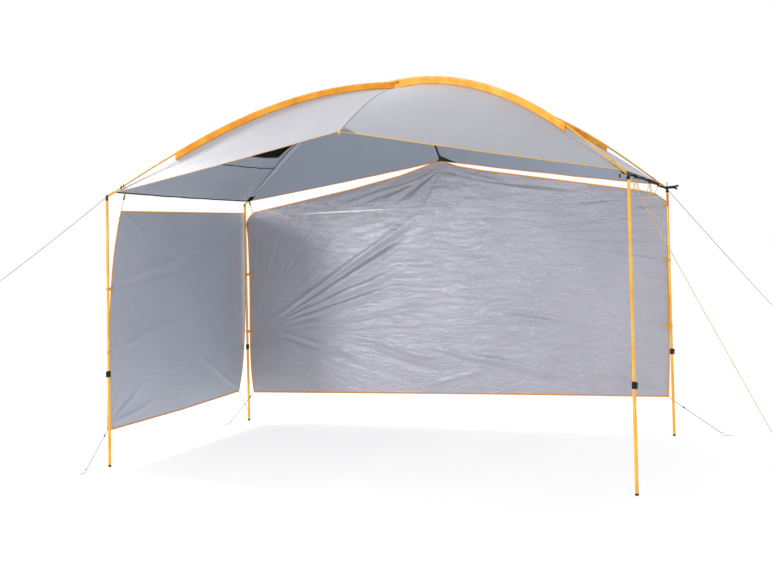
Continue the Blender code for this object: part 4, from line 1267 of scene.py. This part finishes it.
def build_right_eave():
    """Heavy webbing along the right eave, drooping between its stitches, with toggles for another wall."""
    route = []
    for step in range(97):
        share = step / 96
        point = Vector(surface("right", 1.0, 0.012 + 0.976 * share, 0.0))
        droop = 0.0040 * abs(math.sin(math.pi * 9.0 * share + 0.7 * math.sin(11.0 * share)))
        sway = 0.0030 * noise.noise((share * 34.0, 2.0, 4.0))
        route.append(point + Vector((-0.0030 + sway, 0.0, -0.0085 - droop)))
    route.append(Vector((1.7990, 1.0300, 1.8960)))
    strap("right_eave_webbing", route, UP, 0.014, 0.0016, WEB_BLACK)
    for label, (along, drop, spread) in EAVE_LOOPS.items():
        top = canopy_point("right", 1.0, along, 0.0)
        knob = top + Vector((0.006, 0.0, -0.020))
        webbing_loop(f"eave_{label}_loop", top + Vector((0.003, 0.0, -0.003)), knob, Vector((0.0, 1.0, 0.0)),
                     WEB_BLACK, 0.012, 0.008)
        toggle = build_toggle(f"eave_{label}_toggle", knob - UP * 0.004, knob + Vector((0.3, 1.0, -0.3)))
        for number, lean in enumerate((-1.0, 1.0)):
            foot = knob + Vector((0.017 * lean, 0.012 * lean, -drop * (1.0 - 0.14 * number)))
            side = Vector((spread / 2.0 * (1.0 - 0.5 * number), 0.0, 0.0))
            start = knob + Vector((0.0, 0.004 * lean, -0.005))
            knee, ankle = start.lerp(foot, 0.45), foot + UP * 0.010
            points = [start, knee - side * 0.8, ankle - side, foot, ankle + side, knee + side * 0.8,
                      start + Vector((0.0, 0.0026, 0.001))]
            free_cord(f"eave_{label}_cord_{number + 1}", curve_through(points), 0.0017, CORD_YELLOW)


build_right_eave()


def build_corner_hooks():
    """The open hook at the back right corner, and the front right corner's short loop with its ball."""
    base = Vector((1.800, 1.040, 1.904))
    # each arm: its radius and the points that it runs through
    arms = {
        "shank": (0.0105, (-0.022, -0.006, -0.004), (0.020, 0.000, 0.000), (0.048, 0.004, 0.001)),
        "upper": (0.0075, (0.040, 0.003, 0.001), (0.060, 0.006, 0.008), (0.080, 0.008, 0.010)),
        "lower": (0.0075, (0.040, 0.003, 0.001), (0.056, 0.006, -0.008), (0.068, 0.008, -0.014)),
        "tick": (0.0030, (-0.004, 0.000, 0.000), (-0.006, 0.000, 0.020), (-0.005, 0.000, 0.040)),
    }
    for label, (radius, *points) in arms.items():
        route = [base + Vector(p) for p in points]
        rope(f"corner_hook_{label}", route, radius, BLACK_PLASTIC, "black_plastic")
    loop = [(1.7880, -1.0360, 1.9010), (1.7700, -1.0350, 1.9090), (1.7530, -1.0340, 1.9060)]
    loop.append((1.7450, -1.0330, 1.8960))
    strap("front_right_corner_loop", curve_through(loop), Vector((0.0, 1.0, 0.0)), 0.010, 0.0016, WEB_AMBER)
    build_toggle("front_right_corner_ball", (1.7440, -1.0330, 1.8860), (1.7440, -1.0330, 2.0), 0.95)


build_corner_hooks()


def build_corner_webbing(name, colour, drop, turn, wrap, start=1.874):
    """Webbing tacked round a leg's top that hangs down the tube in a narrow loop."""
    turn = math.radians(turn)
    away = around(turn)
    top = leg_axis(name, start) + away * 0.0150
    low = leg_axis(name, start - drop) + away * 0.0165
    webbing_loop(f"corner_webbing_{name}", top, low, Vector((-away.y, away.x, 0.0)), colour, 0.013, 0.006)
    centre = leg_axis(name, 1.874)
    ring = [centre + around(turn + 2.0 * math.pi * step / 20) * 0.0108 for step in range(21)]
    strap(f"corner_wrap_{name}", ring, UP, 0.012, 0.0013, wrap)


build_corner_webbing("back_left", WEB_YELLOW, 0.062, -60.0, WEB_YELLOW)
build_corner_webbing("front_right", WEB_BLACK, 0.020, 120.0, WEB_BLACK)
build_corner_webbing("back_right", WEB_AMBER, 0.100, -75.0, WEB_BLACK, 1.856)


def build_pole_strap(name):
    """Webbing that ties a corner of the canopy up to the end of its pole, wound twice round it."""
    side_x, side_y = SIDES[name]
    apex = LOWER_APEX if side_x == side_y else UPPER_APEX
    shares = np.array([0.940, 0.956]) * side_x
    start, end = (Vector((at * HALF_LENGTH, side_x * side_y * at * HALF_WIDTH, float(pole_height(at, apex))))
                  for at in shares)
    along = (end - start).normalized()
    side = along.cross(UP).normalized()
    over = side.cross(along)
    coil = []
    for step in range(49):
        angle = 4.0 * math.pi * step / 48
        ring = side * math.cos(angle) + over * math.sin(angle)
        coil.append(start.lerp(end, step / 48) + ring * 0.0074)
    corner = Vector(surface("left" if side_x < 0 else "right", 0.985, 0.5 + 0.485 * side_y))
    tail = [coil[-1].lerp(corner, t) for t in (0.35, 0.7, 1.0)]
    strap(f"pole_strap_{name}", coil + tail, along, 0.010, 0.0012, WEB_OLIVE if side_x < 0 else WEB_ORANGE)


for name in SIDES:
    build_pole_strap(name)


def build_patches():
    """Reinforcement tapes and patches on the canopy, and the tab at the middle of the front eave."""
    for name, panel, half, lift, thickness, material in (
        ("crease_tape_back", "back", 0.008, -0.0030, 0.0009, BIND_DARK),
        ("crease_tape_front", "front", 0.005, 0.0016, 0.0007, CREASE_TAPE),
    ):
        rows = []
        for down in np.linspace(0.10, 0.995, 80):
            across = [0.5 + x / (EAVE_LENGTH * down) for x in (-half, 0.0, half)]
            rows.append([surface(panel, down, at, lift) for at in across])
        cloth_strip(name, rows, thickness, material, "canopy_fabric")
    # each patch is a low triangle along the eave, its tip a quarter of the way from its start
    height, tip = 0.050, 0.25
    for name, panel, start, end, lift, material in (
        ("peak_patch_back", "back", -0.03, 0.13, -0.0042, BIND_DARK),
        ("peak_patch_front", "front", -0.01, 0.10, 0.0030, PATCH_GREY),
    ):
        rows = []
        for share in np.linspace(0.0, 1.0, 14):
            rise = height * (1.0 - abs(share - tip) / 0.75) if share > tip else height * share / tip
            rise = max(rise, 0.003)
            across = 0.5 + (start + (end - start) * share) / EAVE_LENGTH
            steps = (0.0, 0.5, 1.0)
            rows.append([surface(panel, 0.996 - step * rise / 1.1, across, lift) for step in steps])
        cloth_strip(name, rows, 0.0008, material, "canopy_fabric")
    top = Vector(surface("front", 0.996, 0.5, 0.004))
    low = top + Vector((0.0, -0.004, -0.022))
    webbing_loop("front_eave_tab", top + UP * 0.004, low, Vector((1.0, 0.0, 0.0)), WEB_YELLOW, 0.018, 0.008)


build_patches()


def wall_strip(name, side, points, width, material):
    """Tape sewn on the inner face of a wall along a line of (along, height) points."""
    place = wall_matrix(side)
    inside = Vector((0.0, -1.0, 0.0)) if side == "back" else Vector((1.0, 0.0, 0.0))
    route = []
    for x, z in rounded(points, 80):
        relief = wall_relief(side, np.array([[x]]), np.array([[z]]), 1.0)[0, 0]
        route.append(place @ Vector((x, z, 0.0)) + inside * (0.0018 + float(relief)))
    strap(name, route, UP, width, 0.0007, material, "wall_fabric")


SEAM_LINE = [(-1.700, 1.787), (-1.581, 1.791), (-0.417, 1.813), (0.70, 1.824), (1.740, 1.834)]
# this seam has a painted highlight, white and faintly glowing, over part of its length
wall_strip("back_wall_seam", "back", SEAM_LINE, 0.009, WALL_SEAM)
wall_strip("back_wall_corner_tab", "back", [(1.764, 1.764), (1.788, 1.767)], 0.016, WEB_ORANGE)
wall_strip("left_wall_corner_tab", "left", [(-0.852, 1.752), (-0.838, 1.728)], 0.018, WEB_YELLOW)

# ---------------------------------------------------------------- materials of the frame's own nodes
FINISHES = {
    "tube": TUBE_GOLD,
    "corner_socket": SOCKET,
    "arch_pole": POLE_GOLD,
    "peg": WIRE,
    "strap": WEB_ORANGE,
}
for node_name, node in NODES.items():
    finish = next((made for part, made in FINISHES.items() if part in node_name), BLACK_PLASTIC)
    node.data.materials.clear()
    node.data.materials.append(finish)
